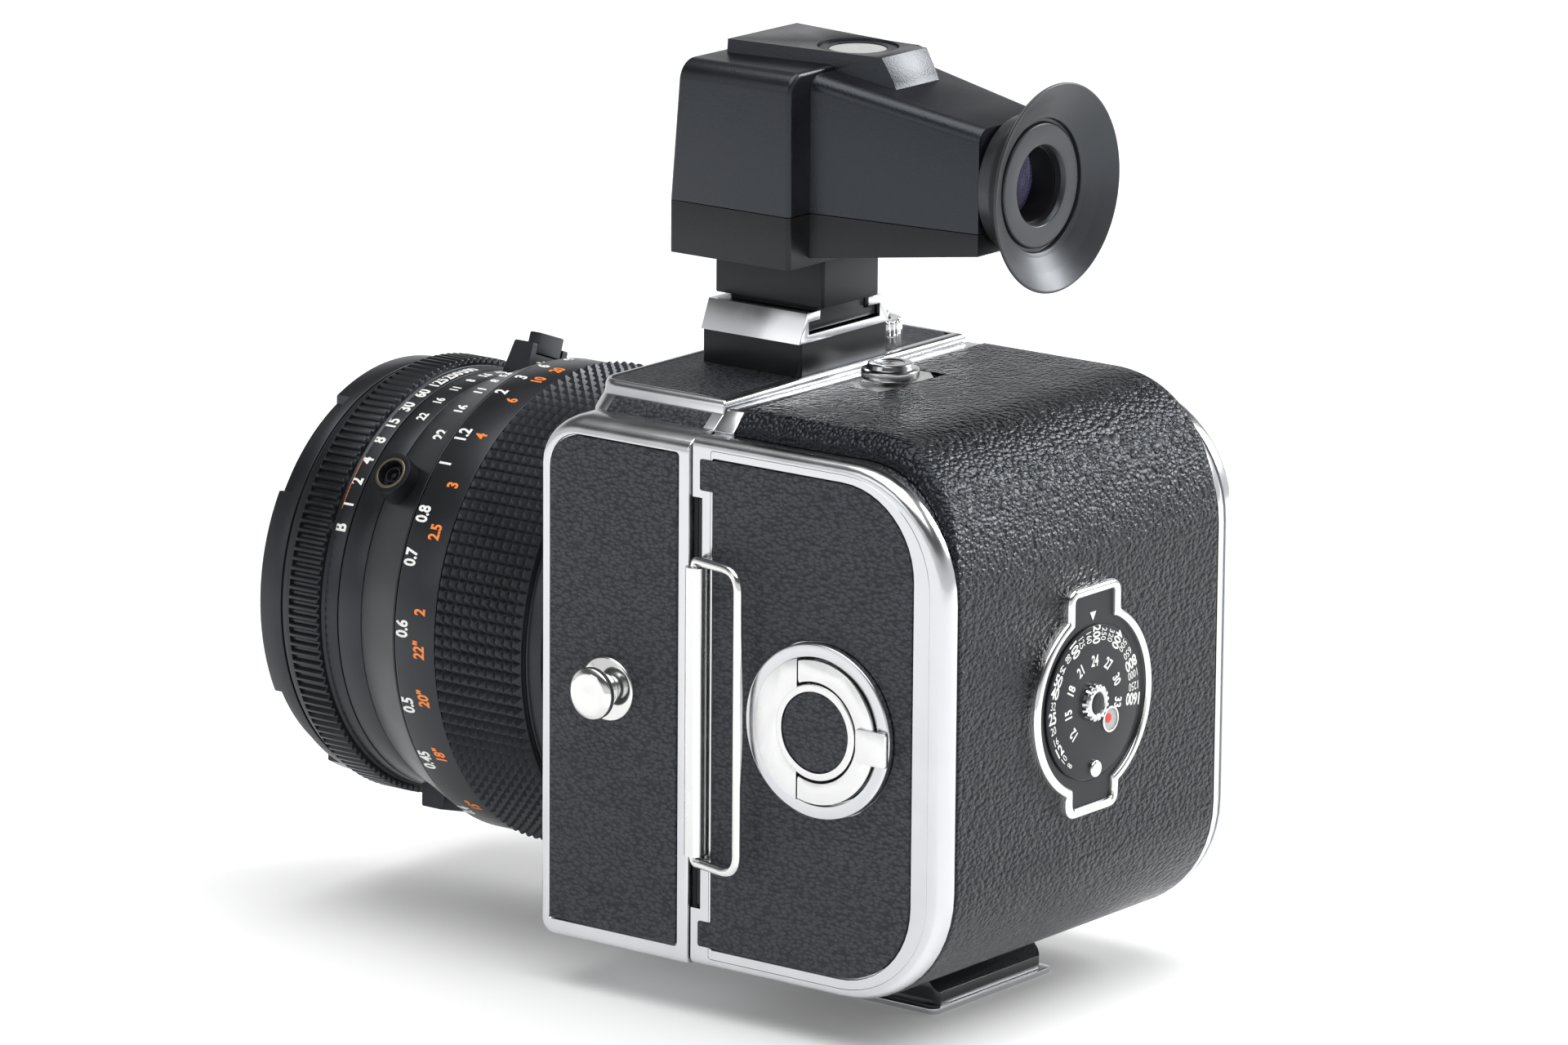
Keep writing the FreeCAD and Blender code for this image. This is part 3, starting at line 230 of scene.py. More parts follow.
def tube(name, path, r, closed=True, sides=16):
    """Round wire along a path of points."""
    pts = [Vector(p) for p in path]
    n = len(pts)
    loops = []
    side = None
    for i in range(n):
        if closed:
            way = (pts[(i + 1) % n] - pts[i - 1]).normalized()
        else:
            way = (pts[min(i + 1, n - 1)] - pts[max(i - 1, 0)]).normalized()
        if side is None:
            side = way.orthogonal().normalized()
        side = (side - way * side.dot(way)).normalized()
        other = way.cross(side)
        loops.append([tuple(pts[i] + (side * math.cos(t) + other * math.sin(t)) * r)
                      for t in (2 * math.pi * k / sides for k in range(sides))])
    return skin(name, loops, ring=closed, angle=60)


def settle(obj, angle=32.0):
    """Applies the modifiers and shades the result."""
    dg = bpy.context.evaluated_depsgraph_get()
    made = bpy.data.meshes.new_from_object(obj.evaluated_get(dg))
    obj.modifiers.clear()
    obj.data = made
    tidy_mesh(made, angle)
    return obj


def carve(obj, *tools, how="DIFFERENCE"):
    for tool in tools:
        mod = obj.modifiers.new("carve", "BOOLEAN")
        mod.operation = how
        mod.solver = "EXACT"
        mod.object = tool
        bpy.context.view_layer.update()
        settle(obj)
        bpy.data.objects.remove(tool)
    return obj


def block(x0, x1, y0, y1, z0, z1):
    """Plain cutting block."""
    return skin("cutter", [[(x, y0, z0), (x, y1, z0), (x, y1, z1), (x, y0, z1)] for x in (x0, x1)])


def rod(axis, at, a, b, r, steps=64):
    """Plain cutting rod."""
    place = {"x": at_x, "y": at_y, "z": at_z}[axis]
    return skin("cutter", [[place(p, h) for p in disc(at[0], at[1], r, steps)()] for h in (a, b)])


def join(name, *objs):
    bm = bmesh.new()
    for obj in objs:
        bm.from_mesh(obj.data)
        bpy.data.objects.remove(obj)
    mesh = bpy.data.meshes.new(name)
    bm.to_mesh(mesh)
    bm.free()
    mesh.set_sharp_from_angle(angle=math.radians(32))
    return linked(name, mesh)


def spun(obj, degrees, axis="Y", centre=None):
    """Turns the mesh about the lens axis, or about an axis through `centre`."""
    at = Vector(centre if centre else (0, 0, LENS_Z)) * MM
    turn = Matrix.Translation(at) @ Matrix.Rotation(math.radians(degrees), 4, axis) @ Matrix.Translation(-at)
    obj.data.transform(turn)
    return obj


def put(obj, body, material, *stands_for, slot=None):
    """Gives a finished piece its body and material, and hides the CAD pieces it stands for."""
    obj.data.materials.clear()
    obj.data.materials.append(material)
    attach(obj, body)
    slot or SLOT_OF[material]
    if stands_for:
        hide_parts(*stands_for)
    return obj


def softened(node, width, material, body, shape=None, slot=None, angle=30.0):
    """A copy of a CAD piece with its sharp edges rounded. shape may move its points, in millimetres."""
    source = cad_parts[node]
    mesh = source.data.copy()
    bm = bmesh.new()
    bm.from_mesh(mesh)
    bm.transform(source.matrix_world)
    bmesh.ops.remove_doubles(bm, verts=bm.verts, dist=1e-6)
    bmesh.ops.dissolve_limit(bm, angle_limit=math.radians(1.0), verts=bm.verts, edges=bm.edges)
    bmesh.ops.dissolve_degenerate(bm, dist=2e-6, edges=bm.edges)
    for vert in bm.verts if shape else ():
        vert.co = Vector(shape(*(vert.co / MM))) * MM
    sharp = [e for e in bm.edges if len(e.link_faces) == 2 and e.calc_face_angle(0) > math.radians(angle)]
    bmesh.ops.bevel(bm, geom=sharp, offset=width * MM, segments=2, profile=0.6, affect="EDGES",
                    clamp_overlap=True, harden_normals=False)
    bm.to_mesh(mesh)
    bm.free()
    mesh.polygons.foreach_set("use_smooth", [True] * len(mesh.polygons))
    mesh.set_sharp_from_angle(angle=math.radians(angle))
    return put(linked(node + "_finished", mesh), body, material, node, slot=slot)


# ---- materials ----
class Shader:
    """A material with one Principled shader and small helpers to wire nodes into it."""

    def __init__(self, name, **values):
        self.mat = bpy.data.materials.new(name)
        self.mat.use_nodes = True
        self.tree = self.mat.node_tree
        self.bsdf = self.tree.nodes["Principled BSDF"]
        for key, value in values.items():
            self.bsdf.inputs[key.replace("_", " ")].default_value = value
        self.coord = self.tree.nodes.new("ShaderNodeTexCoord")

    def link(self, out, into):
        self.tree.links.new(out, into)

    def space(self, scale=(1, 1, 1)):
        """The piece's own coordinates, in metres, stretched by scale."""
        node = self.tree.nodes.new("ShaderNodeMapping")
        node.inputs["Scale"].default_value = scale
        self.link(self.coord.outputs["Object"], node.inputs["Vector"])
        return node.outputs["Vector"]

    def noise(self, size, detail=2.0, vector=None, rough=0.5):
        """Noise whose features are about `size` millimetres across."""
        node = self.tree.nodes.new("ShaderNodeTexNoise")
        node.inputs["Scale"].default_value = 1.0 / (size * MM)
        node.inputs["Detail"].default_value = detail
        node.inputs["Roughness"].default_value = rough
        self.link(vector or self.space(), node.inputs["Vector"])
        return node.outputs["Fac"], node.outputs["Color"]

    def cells(self, size, vector, feature="SMOOTH_F1", smooth=0.35):
        node = self.tree.nodes.new("ShaderNodeTexVoronoi")
        node.feature = feature
        node.inputs["Scale"].default_value = 1.0 / (size * MM)
        if feature == "SMOOTH_F1":
            node.inputs["Smoothness"].default_value = smooth
        self.link(vector, node.inputs["Vector"])
        return node.outputs["Distance"]

    def math(self, how, a, b):
        node = self.tree.nodes.new("ShaderNodeMath")
        node.operation = how
        for socket, value in zip(node.inputs, (a, b)):
            if isinstance(value, (int, float)):
                socket.default_value = value
            else:
                self.link(value, socket)
        return node.outputs[0]

    def blur_vector(self, vector, size, amount):
        """Coordinates pushed about by noise, to bend a pattern."""
        _, colour = self.noise(size, 1.0)
        add = self.tree.nodes.new("ShaderNodeVectorMath")
        add.operation = "MULTIPLY_ADD"
        self.link(colour, add.inputs[0])
        add.inputs[1].default_value = (amount * MM,) * 3
        self.link(vector, add.inputs[2])
        return add.outputs[0]

    def ramp(self, fac, stops, into):
        node = self.tree.nodes.new("ShaderNodeValToRGB")
        while len(node.color_ramp.elements) < len(stops):
            node.color_ramp.elements.new(0.5)
        for element, (pos, colour) in zip(node.color_ramp.elements, stops):
            element.position = pos
            element.color = tuple(colour) + (1.0,) if len(colour) == 3 else colour
        self.link(fac, node.inputs["Fac"])
        self.link(node.outputs["Color"], into)

    def spread(self, fac, low, high, into):
        """Maps 0..1 noise onto a range, for roughness."""
        node = self.tree.nodes.new("ShaderNodeMapRange")
        node.inputs["From Min"].default_value = 0.3
        node.inputs["From Max"].default_value = 0.7
        node.inputs["To Min"].default_value = low
        node.inputs["To Max"].default_value = high
        self.link(fac, node.inputs["Value"])
        self.link(node.outputs["Result"], into)

    def bump(self, height, depth, strength=1.0):
        """Surface relief `depth` millimetres deep."""
        node = self.tree.nodes.new("ShaderNodeBump")
        node.inputs["Strength"].default_value = strength
        node.inputs["Distance"].default_value = depth * MM
        self.link(height, node.inputs["Height"])
        self.link(node.outputs["Normal"], self.bsdf.inputs["Normal"])


COOL = (0.84, 0.91, 1.0, 1.0)       # sheen of the black finishes


def tint(colour, k):
    return tuple(min(1.0, c * k) for c in colour)


def leatherette(name, grain, depth, colour, rough, stretch=(1, 1, 1), smooth=0.35, spec=0.42):
    """Pebbled covering: rounded bumps; the colour is painted lighter on their tops as painted highlight and
    darker in the valleys between them as painted shade.
    """
    s = Shader(name, Specular_IOR_Level=spec, Specular_Tint=COOL)
    vector = s.blur_vector(s.space(stretch), grain * 1.5, grain * 0.8)
    pebbles = s.cells(grain, vector, smooth=smooth)
    fine, _ = s.noise(grain * 0.3, 2.0)
    broad, _ = s.noise(grain * 9, 2.0)
    height = s.math("SUBTRACT", s.math("MULTIPLY", fine, 0.18), pebbles)
    # painted highlight on the pebble tops and painted shade in the valleys, both in the base colour
    s.ramp(pebbles, [(0.10, tint(colour, 1.4)), (0.42, colour), (0.68, tint(colour, 0.3))],
           s.bsdf.inputs["Base Color"])
    s.spread(broad, rough - 0.04, rough + 0.06, s.bsdf.inputs["Roughness"])
    s.bump(height, depth)
    return s.mat


def metal(name, colour, low, high, grain=0.9, depth=0.002, stretch=(1, 1, 1)):
    """Plated or polished metal with faint wear and hairlines."""
    s = Shader(name, Metallic=1.0)
    wear, _ = s.noise(6.0, 4.0)
    lines, _ = s.noise(grain, 3.0, s.space(stretch))
    s.ramp(wear, [(0.3, tint(colour, 0.94)), (0.7, colour)], s.bsdf.inputs["Base Color"])
    s.spread(wear, low, high, s.bsdf.inputs["Roughness"])
    s.bump(lines, depth)
    return s.mat


def black_metal(name, colour, low, high, grain, depth, stretch=(1, 1, 1), coat=0.0, spec=0.3):
    """Anodised or painted metal."""
    s = Shader(name, Coat_Weight=coat, Coat_Roughness=0.05, Specular_IOR_Level=spec, Specular_Tint=COOL)
    lines, _ = s.noise(grain, 3.0, s.space(stretch))
    broad, _ = s.noise(9.0, 3.0)
    s.ramp(broad, [(0.3, tint(colour, 0.8)), (0.7, tint(colour, 1.2))], s.bsdf.inputs["Base Color"])
    s.spread(broad, low, high, s.bsdf.inputs["Roughness"])
    s.bump(lines, depth)
    return s.mat


def paint(name, colour):
    """Filled engraving."""
    s = Shader(name, Roughness=0.5)
    grain, _ = s.noise(0.3, 2.0)
    s.ramp(grain, [(0.25, tint(colour, 0.86)), (0.6, colour)], s.bsdf.inputs["Base Color"])
    return s.mat


def coated_glass(name, colour, coat):
    s = Shader(name, Roughness=0.01, IOR=1.6, Transmission_Weight=0.85, Coat_Weight=0.6,
               Coat_Roughness=0.02, Coat_Tint=coat + (1.0,))
    haze, _ = s.noise(20.0, 2.0)
    s.ramp(haze, [(0.3, tint(colour, 0.85)), (0.7, colour)], s.bsdf.inputs["Base Color"])
    return s.mat


SIDE_LEATHER = leatherette("side_leather", 0.6, 0.28, (0.033, 0.0352, 0.0395), 0.48, (1, 0.65, 1.15), 0.12)
WRAP_LEATHER = leatherette("wrap_leather", 0.74, 0.26, (0.0055, 0.0066, 0.0095), 0.24, (0.75, 1.1, 1.1), 0.12,
                           spec=0.34)
ALUMINIUM = metal("satin_aluminium", (0.63, 0.642, 0.66), 0.15, 0.24)
CHROME = metal("bright_chrome", (0.80, 0.80, 0.79), 0.07, 0.14)
BRUSHED = metal("brushed_plate", (0.78, 0.78, 0.78), 0.22, 0.30, 0.25, 0.004, (1, 1, 0.05))
STEEL = metal("steel", (0.55, 0.55, 0.56), 0.25, 0.38, 0.3, 0.003, (0.1, 1, 1))
BRASS = metal("brass", (0.22, 0.19, 0.14), 0.3, 0.4)
ANODISED = black_metal("black_anodised", (0.0075, 0.0077, 0.0088), 0.28, 0.36, 0.12, 0.0035, (0.02, 1, 0.02),
                       spec=0.5)
MATT_BLACK = black_metal("matt_black", (0.008, 0.008, 0.009), 0.6, 0.75, 0.2, 0.003)
TEXTURED = black_metal("textured_black", (0.006, 0.0068, 0.009), 0.26, 0.34, 0.35, 0.03, spec=0.5)
TEXTURED_LOW = black_metal("textured_brown_black", (0.0075, 0.0072, 0.0070), 0.32, 0.42, 0.35, 0.025,
                           spec=0.42)
GLOSS = black_metal("gloss_black", (0.006, 0.006, 0.007), 0.06, 0.12, 3.0, 0.002, coat=0.8)
SATIN = black_metal("satin_black", (0.011, 0.011, 0.012), 0.28, 0.36, 0.3, 0.002)
GRIP_BLACK = black_metal("grip_black", (0.015, 0.0158, 0.018), 0.36, 0.46, 0.15, 0.004, spec=0.5)
RUBBER = black_metal("eyecup_rubber", (0.020, 0.021, 0.0225), 0.30, 0.40, 0.5, 0.006, spec=0.6)
WHITE = paint("white_fill", (0.86, 0.86, 0.84))
ORANGE = paint("orange_fill", (0.93, 0.24, 0.03))
WINDOW = paint("window_grey", (0.42, 0.43, 0.42))
RED = paint("red_fill", (0.7, 0.03, 0.03))
GLASS = coated_glass("coated_glass", (0.93, 0.95, 1.0), (0.75, 0.7, 1.0))
FILM = black_metal("film_base", (0.10, 0.075, 0.06), 0.2, 0.3, 2.0, 0.002)
PAPER = black_metal("backing_paper", (0.12, 0.12, 0.13), 0.5, 0.6, 0.4, 0.004)


SLOT_OF = {finish: slot for slot, finishes in {     # a piece may still name another slot
    "leather_black": (SIDE_LEATHER, WRAP_LEATHER),
    "satin_aluminium": (ALUMINIUM, BRUSHED),
    "bright_chrome": (CHROME, BRASS),
    "steel": (STEEL,),
    "black_anodised": (ANODISED, ORANGE),
    "black_paint": (MATT_BLACK, SATIN, WHITE, RED, WINDOW),
    "black_plastic": (TEXTURED, TEXTURED_LOW, PAPER),
    "black_gloss": (GLOSS,),
    "rubber_black": (GRIP_BLACK, RUBBER),
    "optical_glass": (GLASS,),
    "film": (FILM,)}.items() for finish in finishes}


# ---- lettering: numbers only ----
def glyphs(text, size, squeeze=0.74, bold=0.032, thick=0.04):
    """Flat mesh of a number, its middle at the origin, in millimetres."""
    curve = bpy.data.curves.new("number", "FONT")
    curve.body = text
    curve.size = size
    curve.offset = bold * size
    curve.extrude = thick / 2
    curve.align_x, curve.align_y = "CENTER", "CENTER"
    curve.resolution_u = 3
    obj = linked("number", curve)
    bpy.context.view_layer.update()
    mesh = bpy.data.meshes.new_from_object(obj.evaluated_get(bpy.context.evaluated_depsgraph_get()))
    verts = [(v.co.x * squeeze, v.co.y, v.co.z) for v in mesh.vertices]
    faces = [tuple(p.vertices) for p in mesh.polygons]
    bpy.data.objects.remove(obj)
    bpy.data.meshes.remove(mesh)
    return verts, faces


def written(name, parts):
    """One piece from several (verts, faces) pairs, already in place."""
    verts, faces = [], []
    for some, their in parts:
        base = len(verts)
        verts += some
        faces += [tuple(base + i for i in face) for face in their]
    return finish_mesh(name, verts, faces)


def round_barrel(text, size, degrees, y, r):
    """A number on the barrel: read along increasing angle, its top towards the front."""
    verts, faces = glyphs(text, size)
    out = []
    for u, v, w in verts:
        a = math.radians(degrees) + u / r
        out.append(((r + w) * math.cos(a), y - v, LENS_Z + (r + w) * math.sin(a)))
    return out, faces


def on_dial(text, size, centre, r, degrees, y, inward=False):
    """A number on the rear dial, seen from behind; angles run clockwise from the top."""
    verts, faces = glyphs(text, size, bold=0.025 if size > 2.2 else 0.0, thick=0.05)
    a = math.radians(degrees)
    out_way = (-math.sin(a), math.cos(a))          # x, z of the outward direction
    side = (-math.cos(a), -math.sin(a))            # clockwise, as seen from behind
    out = []
    for u, v, w in verts:
        if inward:
            along, across = r - u, v
        else:
            along, across = r + v, u
        x = centre[0] + out_way[0] * along + side[0] * across
        z = centre[1] + out_way[1] * along + side[1] * across
        out.append((x, y + w, z))
    return out, faces


# ---- camera, floor and light ----
def make_camera():
    data = bpy.data.cameras.new("camera")
    data.lens, data.sensor_width = 206.57, 36.0
    data.clip_start, data.clip_end = 0.05, 50.0
    cam = linked("camera", data)
    az, el, roll = math.radians(127.45), math.radians(13.613), math.radians(0.433)
    back = Vector((math.sin(az) * math.cos(el), -math.cos(az) * math.cos(el), math.sin(el)))
    right = Vector((math.cos(az), math.sin(az), 0))
    up = back.cross(right)
    right, up = (math.cos(roll) * right + math.sin(roll) * up,
                 -math.sin(roll) * right + math.cos(roll) * up)
    turn = Matrix((right, up, back)).transposed().to_4x4()
    place = (Vector((42.685, 20.0, 83.774)) + back * 1389.592) * MM
    cam.matrix_world = Matrix.Translation(place) @ turn
    bpy.context.scene.camera = cam


def make_floor():
    mesh = bpy.data.meshes.new("floor")
    mesh.from_pydata([(-6, -6, 0), (6, -6, 0), (6, 6, 0), (-6, 6, 0)], [], [(0, 1, 2, 3)])
    floor = linked("floor", mesh)
    s = Shader("white_floor", Roughness=0.7, Specular_IOR_Level=0.2, Emission_Strength=0.12,
               Emission_Color=(1, 1, 1, 1))
    cloud, _ = s.noise(900.0, 2.0)
    s.ramp(cloud, [(0.3, (0.90, 0.90, 0.90)), (0.7, (0.93, 0.93, 0.93))], s.bsdf.inputs["Base Color"])
    mesh.materials.append(s.mat)


def area_light(name, place, aim, width, height, power, colour=(1, 1, 1)):
    data = bpy.data.lights.new(name, "AREA")
    data.shape, data.size, data.size_y, data.energy, data.color = "RECTANGLE", width, height, power, colour
    lamp = linked(name, data)
    way = Vector(aim) - Vector(place)
    lamp.rotation_euler = way.to_track_quat("-Z", "Y").to_euler()
    lamp.location = place


def make_world():
    world = bpy.data.worlds.new("studio")
    bpy.context.scene.world = world
    world.use_nodes = True
    tree = world.node_tree
    coord = tree.nodes.new("ShaderNodeTexCoord")
    split = tree.nodes.new("ShaderNodeSeparateXYZ")
    ramp = tree.nodes.new("ShaderNodeValToRGB")
    tree.links.new(coord.outputs["Generated"], split.inputs[0])
    tree.links.new(split.outputs["Z"], ramp.inputs["Fac"])
    stops = [(0.0, 0.8), (0.15, 0.8), (0.3, 0.6), (0.45, 0.12), (0.65, 0.1), (0.8, 0.4), (1.0, 0.5)]
    while len(ramp.color_ramp.elements) < len(stops):
        ramp.color_ramp.elements.new(0.5)
    for element, (pos, v) in zip(ramp.color_ramp.elements, stops):
        element.position, element.color = pos, (v, v, v * 1.01, 1)
    tree.links.new(ramp.outputs["Color"], tree.nodes["Background"].inputs["Color"])
    tree.nodes["Background"].inputs["Strength"].default_value = 1.0


make_camera()
make_floor()
make_world()
area_light("top_softbox", (0.2, 0.2, 2.2), (0, 0, 0.05), 2.4, 2.4, 54)
area_light("left_softbox", (1.8, -0.7, 0.9), (0, 0, 0.08), 0.9, 0.9, 3)
area_light("rear_softbox", (-1.7, 0.93, 1.15), (0, 0, 0.08), 0.9, 0.9, 38)
bpy.context.scene.view_settings.view_transform = "Standard"


# ---- body ----
def mirror_x(points):
    return [(-x, y, z) for x, y, z in points]


def body_loops():
    """Loops from the left seat floor out over the rounded edge."""
    seat = rect(-28.3, -2.4, 11.1, 91.1, [0.6, 0.6, 0.6, 6.0])
    loops = [[at_x(p, SIDE_L - SEAT) for p in seat()],
             [at_x(p, SIDE_L - 0.12) for p in seat()],
             [at_x(p, SIDE_L) for p in seat(-0.12)]]
    for k in range(7):
        a = math.pi / 2 * k / 6
        d = 1 - math.sin(a)
        outline = rect(BODY_FRONT + 0.9 * d, -SEAM - 0.35 * d, BOTTOM + 0.9 * d, BODY_TOP - 2.6 * d,
                       [max(0.4, 2.5 - 0.9 * d), 0.3, 0.3, 8.0 - 1.6 * d])()
        loop = []
        for y, z in outline:
            lift = max(0.0, (z - 84) / 10) ** 2
            loop.append((SIDE_L - (0.9 + 3.4 * lift) * (1 - math.cos(a)), y, z))
        loops.append(loop)
    return loops


def make_body():
    left = body_loops()
    shell = skin("body_casting", left + [mirror_x(loop) for loop in reversed(left)])
    wall = 3.0
    carve(shell, block(BODY_R + wall, SIDE_L - wall, BODY_FRONT + 3.2, 1, 11.0, 91.4),
          rod("y", (0, LENS_Z), BODY_FRONT - 2, BODY_FRONT + 5, 33.6, 96))
    rims = (                    # half width, front, rear, height, corner radius
        (34.6, -26.2, -SEAM, 93.2, 4.2), (34.4, -26.2, -SEAM, 93.95, 4.2),
        (32.1, -26.2, -SEAM, 95.95, 4.0), (31.95, -26.15, -SEAM, 96.2, 4.0),
        (31.9, -26.1, -SEAM, 97.3, 4.0), (31.75, -26.0, -0.2, 97.7, 3.9),
        (31.4, -25.8, -0.4, 98.05, 3.6), (31.1, -25.6, -0.7, RAISED_TOP, 3.3),
        (30.65, -25.15, -2.15, RAISED_TOP, 2.4), (30.55, -25.0, -2.3, 98.1, 2.2),
        (30.55, -25.0, -2.3, 97.5, 2.2))
    tray = [[at_z(p, z) for p in rect(-half, half, front, rear, [r, r, 0.3, 0.3], 6)()]
            for half, front, rear, z, r in rims]
    join("body_metal", shell, skin("tray", tray))
    put(bpy.data.objects["body_metal"], "camera_body", ALUMINIUM, "body_shell")

    side = rect(-28.15, -2.55, 11.25, 90.95, [0.5, 0.5, 0.5, 5.9])
    panels = [slab("left_panel", side, SIDE_L - SEAT, SIDE_L + PROUD, at_x, 0.4, 4),
              slab("right_panel", side, BODY_R - PROUD, BODY_R + SEAT, at_x, 0.4, 4)]
    top = rect(-30.45, 30.45, -24.85, -2.45, 2.1)
    panels.append(slab("top_panel", top, RAISED_TOP - SEAT, RAISED_TOP - 0.05, at_z, 0.25, 3))
    put(join("body_leather", *panels), "camera_body", SIDE_LEATHER, "body_covering")
    strips = []
    for s in (1, -1):
        points = [(34.50, 93.98), (32.25, 96.02), (31.9, 95.7), (34.15, 93.66)]
        strips.append(slab("strip", lambda d=0.0, s=s: rounded([(s * x, z) for x, z in points], 0.1, 2),
                           -21.7, -2.5, at_y, 0.02, 1))
    put(join("shoulder_strips", *strips), "camera_body", SIDE_LEATHER)


def strap_stud(x0, way, z):
    profile = [(0, -2.5), (2.3, -2.5), (2.3, 0.0), (5.2, 0.0), (5.2, 0.9), (2.4, 1.15), (2.3, 3.2),
               (3.0, 3.6), (4.2, 3.9), (4.2, 5.0), (3.3, 5.6), (0, 5.6)]
    radii = [0.05, 0.05, 0.05, 0.35, 0.3, 0.5, 0.2, 0.3, 0.5, 0.6]
    return turned_solid("stud", "x", (STUD_Y, z), [(r, x0 + way * s) for r, s in profile], radii, 64)


def make_fittings():
    pieces = [strap_stud(SIDE_L, 1, 51.0), strap_stud(BODY_R, -1, 82.0)]
    pieces.append(turned_ring("boss", "x", CRANK, BODY_R - 2.0, BODY_R + 0.4, 11.0, 4.05, 0.4, 96))
    for x in (-7.5, 7.5):
        for y in (-17.2, -4.3):
            head = [(0, 103.0), (1.9, 103.0), (1.9, 104.75), (0, 104.9)]
            pieces.append(turned_solid("screw", "z", (x, y), head, [0.05, 0.2], 24))
    put(join("bright_fittings", *pieces), "camera_body", CHROME, "body_fittings")

    def flutes(k, r, z):
        return r - 0.28 * (1 - abs(math.sin(math.pi * k / 6))) if r > 4.5 and z > RAISED_TOP + 0.5 else r
    top = RAISED_TOP + 3.4
    collar = rounded([(3.1, 97.6), (5.0, 97.6), (5.0, top), (3.1, top)], [0.05, 0.1, 0.5, 0.2], 3)
    collar = lathe("release_collar", collar, "z", RELEASE, 168, wave=flutes)
    put(collar, "camera_body", CHROME, "body_fittings")
    head = [(0, 0.2), (1.6, 0.2), (1.6, 3.0), (0, 3.0)]
    screws = [turned_solid("foot_screw", "z", (x, y), head, [0.15, 0.05], 32)
              for x in (-10, 10) for y in (-21, 25.5)]
    put(join("foot_screws", *screws), "camera_body", CHROME, "body_fittings")


make_body()
make_fittings()
softened("shoe_block", 0.3, SATIN, "camera_body")
softened("accessory_shoe", 0.3, ALUMINIUM, "camera_body")
softened("foot_block", 0.35, GLOSS, "camera_body")
softened("foot_plate", 0.2, ALUMINIUM, "camera_body", slot="bright_chrome")
softened("lens_mount", 0.2, ANODISED, "camera_body")
softened("light_chamber", 0.1, MATT_BLACK, "camera_body")
softened("release_button", 0.25, CHROME, "release_button")
softened("advance_crank", 0.3, CHROME, "advance_crank")
softened("crank_handle", 0.3, CHROME, "crank_handle")


# ---- finder ----
def lean(x, y, z):
    """The finder's front face leans back towards its top."""
    lo, hi = span("finder_upper_cover")
    ahead = max(0.0, min(1.0, (lo[Y] + 12.0 - y) / 12.0))
    return x, y + 2.1 * ahead * max(0.0, (z - lo[Z]) / (hi[Z] - lo[Z])), z


softened("finder_upper_cover", 0.3, TEXTURED, "finder", shape=lean)
softened("finder_lower_cover", 0.4, TEXTURED_LOW, "finder")
softened("finder_foot", 0.3, SATIN, "finder", slot="black_plastic")
softened("finder_glass", 0.15, GLASS, "finder", shape=lean)
softened("eyepiece_tube", 0.2, SATIN, "finder", slot="black_anodised")


def make_eyecup():
    y = span("eyepiece_tube")[1][Y] - 3.2
    sec = [(9.25, y + 0.4), (10.7, y + 0.4), (11.2, y + 3.2), (12.4, y + 4.6), (14.4, y + 6.0),
           (16.7, y + 8.1), (16.3, y + 8.45), (13.6, y + 6.7), (11.3, y + 5.4), (10.6, y + 5.1),
           (10.6, y + 4.2), (9.9, y + 4.2), (9.9, y + 5.1), (6.5, y + 5.1), (6.1, y + 4.4),
           (6.1, y + 3.25), (9.25, y + 3.25)]
    radii = [0.2, 0.5, 2.0, 1.6, 2.5, 0.25, 0.25, 1.5, 0.8, 0.25, 0.2, 0.2, 0.4, 0.3, 0.2, 0.1, 0.1]
    put(lathe("eyecup_rubber", rounded(sec, radii, 4), "y", EYEPIECE, 128), "finder", RUBBER, "eyecup")


def make_level():
    """Round window of the spirit level, let into the finder's hump."""
    z = span("finder_upper_cover")[1][Z]
    rim = turned_ring("level_rim", "z", LEVEL, z - 1.6, z - 0.45, 6.4, 4.7, 0.25, 96)
    put(rim, "finder", SATIN, slot="black_plastic")
    profile = [(0, z - 1.5), (4.65, z - 1.5), (4.65, z - 0.6), (0, z - 0.55)]
    face = turned_solid("level_face", "z", LEVEL, profile, [0.05, 0.2], 64)
    put(face, "finder", WINDOW, slot="optical_glass")


make_eyecup()
make_level()


# ---- lens ----
def lens_lathe(name, points, radii, steps=240, wave=None, material=ANODISED, body="barrel", node=None):
    obj = lathe(name, rounded(points, radii, 3), "y", (0, LENS_Z), steps, wave=wave)
    return put(obj, body, material, *([node] if node else []), slot="black_anodised")


def make_grip(rows=10, columns=128, low=38.75, high=39.8, y0=-53.3, y1=-35.6):
    """Knurl of four-sided points."""
    verts, faces = [], []

    def at(r, a, y):
        verts.append((r * math.cos(a), y, LENS_Z + r * math.sin(a)))
        return len(verts) - 1
    step = 2 * math.pi / columns
    deep = (y1 - y0) / rows
    corner = [[at(low, step * c, y0 + deep * j) for c in range(columns)] for j in range(rows + 1)]
    for j in range(rows):
        for c in range(columns):
            n = (c + 1) % columns
            flat = 0.14
            around = [corner[j][c], corner[j][n], corner[j + 1][n], corner[j + 1][c]]
            top = [at(high, step * (c + 0.5 + sa * flat * 0.5), y0 + deep * (j + 0.5 + sy * flat * 0.5))
                   for sa, sy in ((-1, -1), (1, -1), (1, 1), (-1, 1))]
            faces.append(tuple(top))
            for k in range(4):
                m = (k + 1) % 4
                faces.append((around[k], around[m], top[m], top[k]))
    inner = [[at(38.05, step * c, y) for c in range(columns)] for y in (y0, y1)]
    for c in range(columns):
        n = (c + 1) % columns
        faces.append((corner[0][c], corner[0][n], inner[0][n], inner[0][c]))
        faces.append((corner[rows][c], inner[1][c], inner[1][n], corner[rows][n]))
        faces.append((inner[0][c], inner[0][n], inner[1][n], inner[1][c]))
    put(finish_mesh("focus_knurl", verts, faces, 18), "focus_ring", GRIP_BLACK, "focus_grip")


def in_sector(k, steps, centre, half):
    a = 360.0 * k / steps
    return abs((a - centre + 180) % 360 - 180) <= half


